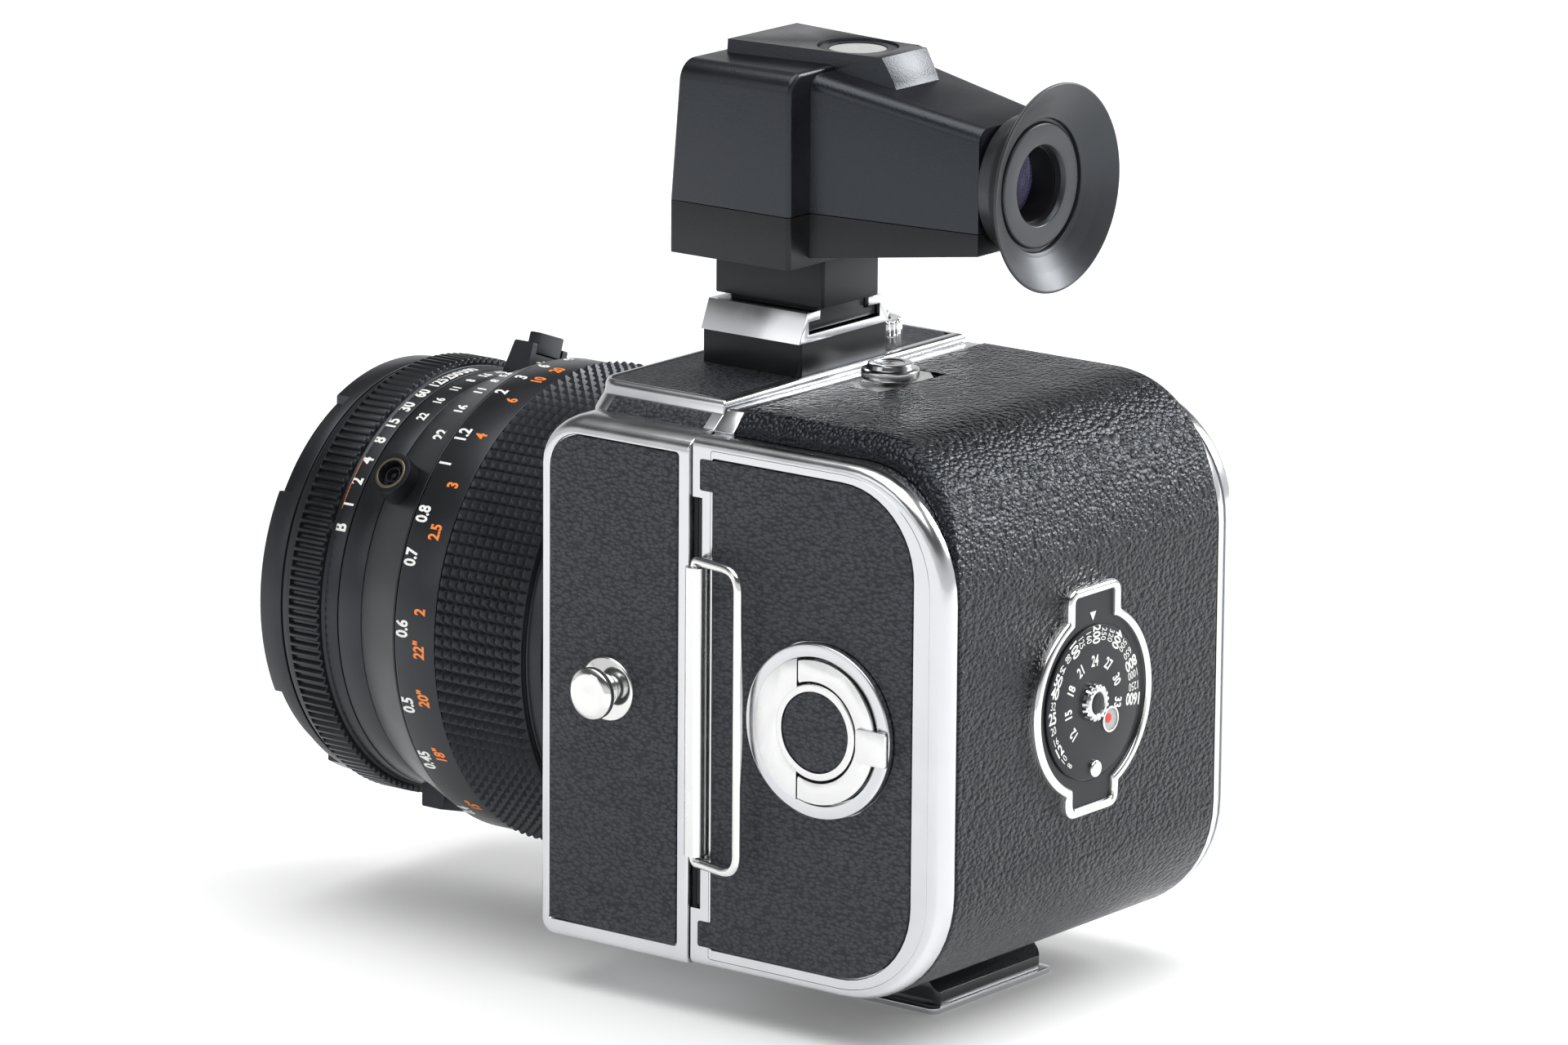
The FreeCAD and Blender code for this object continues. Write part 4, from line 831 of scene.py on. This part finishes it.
def aperture_tab(top):
    """Finger tab standing above the lens axis, up to radius `top`."""
    points = [(-77.0, 33.5), (-72.3, 33.5), (-72.3, 35.4), (-71.7, 35.4), (-71.7, top),
              (-75.6 + 0.26 * (top - 40), top)]
    outline = rounded([(y, LENS_Z + z) for y, z in points], [0.1, 0.1, 0.1, 0.1, 0.35, 0.4], 3)
    return slab("tab", lambda d=0.0: outline, -4.8, 4.8, at_x, 0.15, 2)


def make_lens():
    """Turned rings from the body forwards; each outline is (radius, y)."""
    lens_lathe("focus_band", [(35.2, -61.6), (39.1, -61.6), (39.1, -53.3), (38.0, -53.3), (38.0, -35.6),
                              (37.4, -35.6), (37.4, -32.6), (33.5, -32.6), (33.5, -53.2), (35.2, -53.2)],
               [0.2, 0.3, 0.15, 0.1, 0.1, 0.3, 0.3, 0.1, 0.1, 0.1], body="focus_ring", node="focus_ring")
    make_grip()
    lens_lathe("barrel_cone", [(30.0, -72.05), (34.95, -72.05), (35.1, -71.8), (38.75, -62.3),
                               (38.75, -61.95), (34.9, -61.95), (34.9, -53.7), (26.0, -53.7),
                               (26.0, -60.5), (30.0, -60.5)],
               [0.1, 0.1, 0.1, 0.3, 0.1, 0.1, 0.2, 0.1, 0.1, 0.1], node="lens_barrel")

    def speed_flutes(k, r, y):
        return r - 0.6 if r > 35.8 and -86.2 < y < -80.2 and k % 4 < 2 else r
    lens_lathe("speed_ring", [(33.5, -86.3), (36.5, -86.3), (36.5, -80.3), (35.2, -80.3), (34.95, -79.8),
                              (34.95, -77.2), (30.7, -77.2), (30.7, -81.6), (33.5, -81.6)],
               [0.1, 0.25, 0.25, 0.2, 0.2, 0.15, 0.1, 0.1, 0.1], 576, speed_flutes, ANODISED,
               "shutter_speed_ring", node="shutter_speed_ring")
    section = rounded([(30.7, -77.05), (34.9, -77.05), (34.9, -72.2), (30.7, -72.2)],
                      [0.1, 0.15, 0.15, 0.1], 3)
    band = lathe("aperture_band", section, "y", (0, LENS_Z), 240)
    key_tab, plain_tab = aperture_tab(40.0), aperture_tab(38.2)
    carve(key_tab, block(-3.5, 3.5, -74.3, -70.0, LENS_Z + 38.2, LENS_Z + 45))
    tabs = [spun(key_tab, -19.5), spun(plain_tab, 164.4)]
    put(join("aperture_collar", band, *tabs), "aperture_ring", ANODISED, "aperture_ring")

    def lug_gaps(k, r, y):
        cut = r > 33.6 and y < -90.9 and any(in_sector(k, 360, 47.5 - 90 * n, 16) for n in range(4))
        return 33.6 if cut else r
    lens_lathe("bayonet_rim", [(30.0, -82.0), (30.0, -91.2), (31.6, -91.4), (31.6, -93.8), (35.1, -93.8),
                               (35.1, -90.95), (35.1, -90.85), (35.1, -89.1), (34.7, -89.1), (34.7, -88.7),
                               (35.1, -88.7), (35.1, -86.6), (33.4, -86.6), (33.4, -82.0)],
               [0.1, 0.2, 0.2, 0.4, 0.5, 0.02, 0.02, 0.15, 0.05, 0.05, 0.15, 0.2, 0.1, 0.1], 360, lug_gaps,
               node="front_bayonet")
    lens_lathe("trim_ring", [(25.0, -90.1), (25.4, -91.1), (29.8, -91.1), (29.8, -90.1)], 0.2,
               node="front_bayonet", material=SATIN)


make_lens()
softened("interlock_key", 0.3, ANODISED, "interlock_key")
softened("shutter_case", 0.1, MATT_BLACK, "barrel", slot="black_anodised")
softened("rear_cell", 0.15, ANODISED, "barrel")
softened("lens_glass", 0.1, GLASS, "barrel")
softened("flash_socket", 0.2, SATIN, "barrel", slot="black_anodised")
contact = turned_ring("socket_contact", "x", (-68.7, LENS_Z), 39.4, 40.3, 2.75, 2.3, 0.1, 64)
put(spun(contact, -38.5), "barrel", BRASS)


# ---- magazine ----
def mag_rect(d=0.0, y0=0.0, front=0.0):
    """The magazine's side outline, inset by d at the bottom, rear and top."""
    r = 20.0 - d
    return rect(y0 + front, MAG_REAR - d, BOTTOM + d, MAG_SHOULDER - d, [0.3, r, r, 0.3], 12)()


def mag_edge(x_face, way, loops, radius=1.5, reach=2.0, order=range(7)):
    """Rounded rim where a side face turns into the rear, top and bottom."""
    for k in order:
        a = math.pi / 2 * k / 6
        loops.append([at_x(p, x_face - way * reach * (1 - math.cos(a)))
                      for p in mag_rect(radius * (1 - math.sin(a)), SEAM, 0.3 * (1 - math.sin(a)))])


def plate_pocket():
    """Room for the release plate."""
    return block(-8.6, 8.6, 3.0, 13.1, 90, 110)


def make_magazine():
    chamber = rect(5.6, 47.3, 11.2, 91.9, [0.5, 17.3, 17.3, 0.5], 12)
    mouth = rect(3.9, 46.6, 10.1, 92.4, [0.5, 16.8, 16.8, 0.5], 12)
    loops = [[at_x(p, x) for p in chamber()] for x in (SIDE_R + 1.4, 38.0)]
    loops += [[at_x(p, x) for p in mouth()] for x in (38.0, SIDE_L - 0.04)]
    loops.append([at_x(p, SIDE_L) for p in mouth(-0.04)])
    mag_edge(SIDE_L, 1, loops)
    for x, d in ((37.95, 0.0), (37.9, SEAT), (-31.9, SEAT), (-31.95, 0.0)):
        loops.append([at_x(p, x) for p in mag_rect(d, SEAM)])
    mag_edge(SIDE_R, -1, loops, order=range(6, -1, -1))
    shell = skin("magazine_casting", loops)
    low, high = LENS_Z - SLOT_HALF, LENS_Z + SLOT_HALF
    carve(shell, block(SIDE_R + 2, SIDE_L + 1, 0.95, 2.35, low, high),
          block(-GATE_HALF, GATE_HALF, -1, 7, LENS_Z - GATE_HALF, LENS_Z + GATE_HALF),
          block(SIDE_L - 1.0, SIDE_L + 1, 0.15, 1.75, low, high),
          block(SIDE_L - 1.0, SIDE_L + 1, -0.1, 3.9, 26.4, 74.3))
    liner = slab("slot_liner", rect(0.15, 0.95, low + 0.05, high - 0.05, 0.05), SIDE_L - 1.0, SIDE_L - 0.8,
                 at_x, 0.05, 1)
    put(liner, "magazine", MATT_BLACK)

    def ridge_outline(d=0.0):
        points = [(-34.2, 93.0), (34.9, 93.0), (34.9, 94.1), (31.7, MAG_TOP), (-31.7, MAG_TOP), (-34.2, 94.1)]
        inner = [(x - math.copysign(d, x), z - (d if z > 95 else 0)) for x, z in points]
        return rounded(inner, [0.1, 0.1, 0.4, 1.2, 1.2, 0.4], 4)
    ridge = slab("ridge", ridge_outline, SEAM, 3.95, at_y, 0.25, 3)
    bed = rounded([(-33, 93.0), (33, 93.0), (31.0, 96.3), (-31.0, 96.3)], 0.3, 3)
    core = slab("core", lambda d=0.0: bed, 3.9, 28.0, at_y, 0.1, 1)
    carve(core, plate_pocket())
    put(join("magazine_metal", shell, ridge, core), "magazine", ALUMINIUM, "magazine_shell")


def make_gear_cover():
    """Plate over the magazine's right side, raised over the gears."""
    loops = [[at_x(p, SIDE_R) for p in mag_rect(0.45, SEAM)]]
    for k in range(7):
        a = math.pi / 2 * k / 6
        d = 1.6 * (1 - math.cos(a))
        loops.append([at_x(p, SIDE_R - 1.3 - 1.6 * math.sin(a)) for p in mag_rect(0.45 + d, SEAM, d)])
    plate = skin("cover_plate", loops)
    raised = slab("cover_raise", rect(12.0, 44.0, 22.0, 78.0, 9.0), SIDE_R - 4.0, SIDE_R - 0.1, at_x, 0.6, 4)
    for piece in (plate, raised):
        carve(piece, rod("x", WINDING, SIDE_R - 6, SIDE_R + 1, 2.5),
              rod("x", COUNTER, SIDE_R - 6, SIDE_R - 2, 4.0),
              slab("cutter", rect(13.5, 42.5, 23.5, 76.5, 7.5), SIDE_R - 2.8, SIDE_R + 1, at_x, 0.1, 1))
    put(join("gear_cover_metal", plate, raised), "magazine", ALUMINIUM, "gear_cover")


def wrap_path():
    """(y, z, normal y, normal z, lift) along the magazine: under, up the rear and over the top."""
    out = []
    for k in range(12):
        out.append((4.05 + 26.0 * k / 12, BOTTOM, 0.0, -1.0, 0.0))
    for k in range(17):
        a = math.pi / 2 * k / 16
        out.append((30 + 20 * math.sin(a), 28.4 - 20 * math.cos(a), math.sin(a), -math.cos(a), 0.0))
    for k in range(1, 16):
        out.append((MAG_REAR, 28.4 + 45.8 * k / 16, 1.0, 0.0, 0.0))
    for k in range(29):
        a = math.pi / 2 * k / 28
        t = max(0.0, min(1.0, (a - 0.10) / 1.35))
        ny, nz = math.cos(a), math.sin(a)
        out.append((30 + 20 * ny, 74.2 + 20 * nz, ny, nz, t * t * (3 - 2 * t)))
    for k in range(1, 14):
        out.append((30 - 25.95 * k / 13, MAG_SHOULDER, 0.0, 1.0, 1.0))
    return out


def make_wrap():
    """One sheet of covering, its side edges falling to the casting."""
    cols, border, under = 40, 0.12, 0.55
    loops = []
    for y, z, ny, nz, lift in wrap_path():
        edge_l, edge_r = 37.75 - 3.45 * lift, -31.75 - 2.0 * lift
        flat_l, flat_r = 37.2 - 5.2 * lift, -31.2 - 0.2 * lift
        high, low = PROUD + 3.0 * lift, -0.15 + 0.65 * lift
        over, back = [], []
        for c in range(cols + 1):
            v = c / cols
            f = min(v, 1 - v) / border
            if f < 1:
                edge, flat = (edge_l, flat_l) if v < 0.5 else (edge_r, flat_r)
                x = edge + (flat - edge) * f
                h = low + (high - low) * (1 - (1 - f) ** (2.2 - 1.0 * lift))
            else:
                x, h = flat_l + (flat_r - flat_l) * (v - border) / (1 - 2 * border), high
            over.append((x, y + ny * h, z + nz * h))
            back.append((x, y - ny * under, z - nz * under))
        loops.append(over + back[::-1])
    sheet = skin("magazine_wrap_leather", loops, angle=50)
    carve(sheet, plate_pocket())
    tidy_mesh(sheet.data, 50)
    put(sheet, "magazine", WRAP_LEATHER, "magazine_wrap")


def plate_edge(cx, cz, turn):
    """Rear dial frame: a circle with a tab above and below. Returns an outline as a function of inset."""
    def inside(x, z, d):
        if math.hypot(x, z) <= 15.64 - d:
            return True
        half, low, high, r = 6.9 - d, -18.0 + d, 19.1 - d, max(0.3, 2.2 - d)
        px, pz = abs(x) - (half - r), max(z - (high - r), (low + r) - z)
        if px <= 0 or pz <= 0:
            return px <= r and pz <= r
        return math.hypot(px, pz) <= r

    def outline(d=0.0):
        out = []
        for k in range(turn):
            a = 2 * math.pi * k / turn
            lo, hi = 5.0, 24.0
            for _ in range(26):
                mid = (lo + hi) / 2
                lo, hi = (mid, hi) if inside(mid * math.cos(a), mid * math.sin(a), d) else (lo, mid)
            out.append((cx + lo * math.cos(a), cz + lo * math.sin(a)))
        return out
    return outline


def button(name, at, low, high, r, radii, dome=0.0, steps=32):
    """Short round piece on the rear face from low to high, its middle higher by dome."""
    return turned_solid(name, "y", at, [(0, low), (r, low), (r, high), (0, high + dome)], radii, steps)


def make_dial():
    y = MAG_REAR
    face = y + 1.43             # where the numbers lie
    frame_line = plate_edge(DIAL[0], DIAL[1], 288)
    rim = ((0.0, -0.6), (0.0, 1.2), (0.12, 1.55), (0.45, 1.8), (1.1, 1.8), (1.35, 1.7), (1.5, 1.45),
           (1.5, 0.9))
    bezel = skin("dial_frame", [[at_y(p, y + h) for p in frame_line(d)] for d, h in rim], angle=40)
    put(bezel, "magazine", CHROME, "magazine_fittings")
    floor = slab("dial_floor", lambda d=0.0: frame_line(1.45 + d), y + 0.6, y + 1.02, at_y, 0.05, 1)
    carve(floor, rod("y", DIAL, y + 0.95, y + 3, 12.75, 144))
    put(floor, "magazine", SATIN)
    plate = button("dial_plate", DIAL, y + 0.96, y + 1.42, 12.4, [0.05, 0.2], steps=144)
    put(plate, "reminder_dial", SATIN, "reminder_dial")

    def teeth(k, r, h):
        return r - (0.35 if k % 6 in (0, 1, 2) and r > 2.5 and h > y + 1.5 else 0.0)
    section = [(0, y + 1.3), (3.0, y + 1.3), (3.0, y + 2.2), (2.7, y + 2.5), (1.9, y + 2.5), (1.6, y + 2.1),
               (0, y + 2.1)]
    hub = lathe("dial_hub", rounded(section, [0.01, 0.05, 0.15, 0.1, 0.15, 0.1, 0.01], 2), "y", DIAL, 96,
                wave=teeth)
    put(hub, "reminder_dial", ALUMINIUM)
    put(button("dial_centre", DIAL, y + 1.5, y + 2.4, 1.75, [0.05, 0.25], 0.05, 48), "reminder_dial", SATIN)
    outer = ["8", "10", "12", "16", "20", "25", "32", "40", "50", "64", "80", "100", "125", "160", "200",
             "250", "320", "400", "500", "650", "800", "1000", "1250", "1600"]
    parts = []
    for i, text in enumerate(outer):
        size = 2.7 if i % 3 == 2 or i in (7, 23) else 1.9
        parts.append(on_dial(text, size, DIAL, 10.9, -146 + 10.6 * i, face, inward=True))
    for i in range(8):
        parts.append(on_dial(str(12 + 3 * i), 2.5, DIAL, 6.6, -130 + 33 * i, face))
    put(written("dial_numbers", parts), "reminder_dial", WHITE)
    arrow = [(DIAL[0] + x, DIAL[1] + z) for x, z in ((-0.8, 14.6), (0.8, 14.6), (0, 13.2))]
    put(skin("dial_mark", [[at_y(p, y + h) for p in arrow] for h in (1.02, 1.12)]), "magazine", WHITE)
    pin = (DIAL[0] - 0.5, DIAL[1] - 10.8)
    put(button("dial_pin", pin, y + 1.2, y + 2.0, 1.4, [0.05, 0.35], 0.15), "reminder_dial", CHROME)
    window = (DIAL[0] - 4.5, DIAL[1] - 3.6)
    spot = (window[0] + 0.5, window[1] + 0.3)
    put(turned_ring("window_rim", "y", window, y + 1.35, y + 1.7, 2.1, 1.8, 0.1, 48), "reminder_dial", CHROME)
    put(button("window_disc", window, y + 1.3, y + 1.5, 1.8, [0.03, 0.03], steps=40), "reminder_dial", WINDOW)
    put(button("window_spot", spot, y + 1.45, y + 1.56, 0.75, [0.02, 0.02], steps=24), "reminder_dial", RED)


def make_release():
    z = MAG_TOP
    y0, y1, x = 4.2, 12.7, 8.2
    corners = rounded([(-x, y0), (x, y0), (x, y1 - 0.2), (x - 2.0, y1), (-x + 2.6, y1), (-x, y1 - 2.6)],
                      0.6, 4)
    plate = slab("release_plate", lambda d=0.0: corners, z - 0.9, z + 0.3, at_z, 0.05, 1)
    carve(plate, skin("cutter", [[at_z(p, h) for p in rect(-5.2, 2.0, 6.7, 9.9, 1.59)()] for h in (94, 99)]))
    put(plate, "magazine", BRUSHED, "magazine_fittings")
    profile = [(0, z - 4.3), (1.0, z - 4.3), (1.0, z + 0.7), (4.7, z + 0.7), (4.7, z + 2.2), (3.9, z + 2.3),
               (3.6, z + 3.2), (2.3, z + 3.2), (2.2, z + 3.05), (0, z + 3.0)]
    radii = [0.1, 0.1, 0.3, 0.35, 0.2, 0.3, 0.1, 0.1]
    knob = turned_solid("release_button_top", "z", KNOB, profile, radii, 96)
    put(knob, "release_knob", ALUMINIUM, "release_knob")


make_magazine()
make_wrap()
make_dial()
make_release()
make_gear_cover()
softened("counter_window", 0.1, GLASS, "magazine")
softened("counter_disc", 0.05, SATIN, "counter_disc")
softened("winding_crank", 0.3, CHROME, "winding_crank")
softened("winding_handle", 0.3, CHROME, "winding_handle")


# ---- film insert ----
def make_insert():
    end = rect(3.96, 46.57, 10.13, 92.37, [0.5, 16.77, 16.77, 0.5], 12)
    seat = rect(4.25, 43.5, 11.7, 91.1, [0.5, 13.8, 13.8, 0.5], 12)
    loops = [[at_x(p, x) for p in end(d)] for d, x in ((0.0, 38.1), (0.0, SIDE_L - 0.05), (0.05, SIDE_L))]
    loops += [[at_x(p, SIDE_L - h) for p in seat(d)] for d, h in ((-0.12, 0.0), (0.0, 0.12), (0.0, SEAT))]
    end_plate = skin("insert_end", loops)
    carve(end_plate, rod("x", KEY, 36, 42, 3.05, 48))
    inner = slab("inner_plate", rect(8.6, 45.0, 13.0, 90.2, [1, 15.6, 15.6, 1], 10), 36.4, 38.15, at_x,
                 0.3, 2)
    carve(inner, rod("x", KEY, 34, 42, 3.05, 48), *[rod("x", at, 35, 37.4, 2.1, 32) for at in SPOOLS])
    ring = turned_ring("key_ring", "x", KEY, SIDE_L - SEAT, SIDE_L + 1.5, 14.0, 11.9, 0.35, 144)
    put(join("insert_metal", end_plate, inner, ring), "film_insert", ALUMINIUM, "insert_end_plate")
    panel = slab("insert_panel", rect(4.4, 43.35, 11.85, 90.95, [0.5, 13.7, 13.7, 0.5], 12),
                 SIDE_L - SEAT, SIDE_L + PROUD, at_x, 0.4, 4)
    carve(panel, rod("x", KEY, 38, 43, 14.15, 144))
    ends = [slab("end_patch", rect(1.9, 4.9, z0, z1, 0.4), SIDE_L + 0.01, SIDE_L + 0.14, at_x, 0.05, 1)
            for z0, z1 in ((11.95, 16.1), (85.8, 90.85))]
    put(join("insert_covering", panel, *ends), "film_insert", SIDE_LEATHER, "insert_leather")


def half_ring(name, x0, x1, r0, r1, a0, a1, edge, steps=72):
    """Part of a flat ring about the key, from angle a0 to a1 in degrees."""
    def arc(r, order):
        angles = [math.radians(a0 + (a1 - a0) * k / steps) for k in order]
        return [(KEY[0] + r * math.cos(a), KEY[1] + r * math.sin(a)) for a in angles]

    def outline(d=0.0):
        return arc(r1 - d, range(steps + 1)) + arc(r0 + d, range(steps, -1, -1))
    return slab(name, outline, x0, x1, at_x, edge, 2)


def make_key():
    """Turning centre with a fixed front half; the rear half folds out as a handle."""
    x = SIDE_L
    gap = (22.7, 22.98)         # y of the two halves' facing ends
    base = slab("key_floor", disc(KEY[0], KEY[1], 11.6, 144), x + 0.05, x + 0.4, at_x, 0.1, 1)
    boss = turned_ring("key_boss", "x", KEY, x + 0.2, x + 2.1, 7.7, 6.5, 0.2, 120)
    front = half_ring("key_front", x + 0.3, x + 2.1, 7.4, 11.85, 90, 270, 0.08)
    carve(front, block(35, 50, gap[0], 45, 30, 75))
    shaft = turned_solid("key_shaft", "x", KEY, [(0, 36.0), (3.0, 36.0), (3.0, x + 0.3), (0, x + 0.3)],
                         [0.1, 0.1], 48)
    latch = slab("key_latch", rect(24.4, 28.0, 44.0, 58.4, 1.0), 34.2, 36.1, at_x, 0.3, 2)
    put(base, "insert_key", MATT_BLACK)
    put(join("key_metal", boss, front, shaft, latch), "insert_key", BRUSHED, "key_base")
    pad = slab("key_pad", disc(KEY[0], KEY[1], 6.45, 96), x + 0.35, x + 1.9, at_x, 0.3, 3)
    put(pad, "insert_key", SIDE_LEATHER)
    half = half_ring("key_half", x + 0.5, x + 2.1, 8.1, 11.5, -112, 112, 0.08)
    carve(half, block(35, 50, 10, gap[1], 30, 75))
    tab = slab("key_tab", rect(34.5, 40.4, 47.8, 53.4, 0.5), x + 1.75, x + 2.65, at_x, 0.2, 2)
    put(join("key_lift", half, tab), "key_handle", BRUSHED, "key_handle")


def bend_path(points, radius, steps=8):
    """Closed path in space with its corners rounded."""
    out = []
    count = len(points)
    for i in range(count):
        before, here, after = Vector(points[i - 1]), Vector(points[i]), Vector(points[(i + 1) % count])
        u, v = (before - here).normalized(), (after - here).normalized()
        r = radius[i]
        cut = min(r / math.tan(u.angle(v) / 2), 0.45 * (before - here).length, 0.45 * (after - here).length)
        a, b = here + u * cut, here + v * cut
        for k in range(steps + 1):
            t = k / steps
            out.append(tuple(a * (1 - t) ** 2 + here * 2 * t * (1 - t) + b * t * t))
    return out


def make_slide():
    x = SIDE_L
    plate = slab("slide_blade", rect(-31.5, x - 0.6, LENS_Z - 33.0, LENS_Z + 33.0, [2, 0.3, 0.3, 2]),
                 1.15, 2.15, at_y, 0.1, 1)
    put(plate, "dark_slide", SATIN, "dark_slide")
    section = rounded([(x - 0.55, 0.35), (x + 1.6, 0.25), (x + 2.5, 1.1), (x + 2.5, 2.9), (x + 1.6, 3.6),
                       (x - 0.55, 3.65)], [0.1, 0.6, 0.7, 0.7, 0.6, 0.1], 3)
    bar = slab("slide_bar", lambda d=0.0: section, 27.0, 73.7, at_z, 0.02, 1)
    hinge = (x + 1.2, 1.9)
    carve(bar, rod("z", hinge, 20, 80, 0.85, 32))
    put(bar, "dark_slide", BRUSHED, slot="bright_chrome")
    reach, z0, z1 = (x + 3.4, 12.2), 25.9, 74.8
    loop = bend_path([(*hinge, z0), (*hinge, z1), (*reach, z1), (*reach, z0)], [1.2, 1.2, 3.4, 3.4])
    put(tube("bail_wire", loop, 0.78), "dark_slide_bail", CHROME, "dark_slide_bail")


make_insert()
make_key()
make_slide()
softened("insert_frame", 0.2, STEEL, "film_insert")
softened("film_web", 0.02, FILM, "film_insert")
softened("supply_spool", 0.2, PAPER, "supply_spool")
softened("takeup_spool", 0.2, PAPER, "takeup_spool")


# ---- numbers on the lens ----
def scale(name, rows, sizes, y, r, body, material=None):
    """Numbers round the lens from (text, degrees) rows; sizes is one size or a function of the angle."""
    parts = [round_barrel(text, sizes(a) if callable(sizes) else sizes, a, y, r) for text, a in rows]
    put(written(name, parts), body, material or WHITE, slot="black_anodised")


def on_lens(r, degrees, y):
    a = math.radians(degrees)
    return (r * math.cos(a), y, LENS_Z + r * math.sin(a))


def make_scales():
    speeds = (("B", 24.4), ("1", 31.0), ("2", 37.8), ("4", 44.3), ("8", 51.2), ("15", 57.5), ("30", 64.6),
              ("60", 71.5), ("125", 78.4), ("250", 84.6), ("500", 91.0))
    stops = (("22", 62.0), ("16", 69.5), ("11", 76.8), ("8", 83.3), ("5.6", 89.6), ("4.5", 96.0))
    depth = (("22", 53.2), ("16", 62.6), ("11", 71.0), ("8", 76.6), ("5.6", 81.0))
    metres = (("∞", 95.3), ("6", 85.6), ("3", 77.2), ("2", 69.4), ("1.2", 52.9), ("1", 44.2), ("0.8", 30.7),
              ("0.7", 20.0), ("0.6", 2.9), ("0.5", -16.4), ("0.45", -32.8), ("0.4", -54.4))
    feet = (("20", 84.5), ("10", 77.2), ("6", 66.8), ("4", 53.5), ("3", 39.0), ("2.5", 26.9), ("2", 7.6),
            ("22\"", -1.6), ("20\"", -13.9), ("18\"", -30.2), ("15\"", -50.0))
    mirrored = [(text, angle) for text, a in depth for angle in (a, 177 - a)]
    scale("speed_numbers", speeds, 3.3, -78.9, 34.95, "shutter_speed_ring")
    scale("stop_numbers", stops, 2.4, -74.4, 34.93, "aperture_ring")
    scale("depth_numbers", mirrored, lambda a: 2.4 if 75 <= a <= 102 else 3.0, -65.4, 37.75, "barrel")
    scale("metre_numbers", metres, 3.2, -59.9, 39.12, "focus_ring")
    scale("foot_numbers", feet, 3.0, -56.4, 39.12, "focus_ring", ORANGE)
    corners = ((34.9, -80.1), (34.99, -80.1), (34.99, -79.8), (34.9, -79.8))
    line = skin("slow_line", [[on_lens(r, 29.5 + k, y) for r, y in corners] for k in range(17)])
    put(line, "shutter_speed_ring", ORANGE)
    corners = ((36.0, -69.5), (38.85, -62.2), (38.6, -62.2), (35.8, -69.5))
    index = skin("index_line", [[on_lens(r, a, y) for r, y in corners] for a in (88.2, 88.8)])
    put(index, "barrel", WHITE, slot="black_anodised")


make_scales()


# ---- pieces shown as they come from the CAD ----
for name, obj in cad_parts.items():
    if not obj.material_slots:
        obj.data.materials.append(None)
    for held in obj.material_slots:
        held.link = "OBJECT"
        held.material = STEEL if "leaf" in name else MATT_BLACK

bpy.context.view_layer.update()
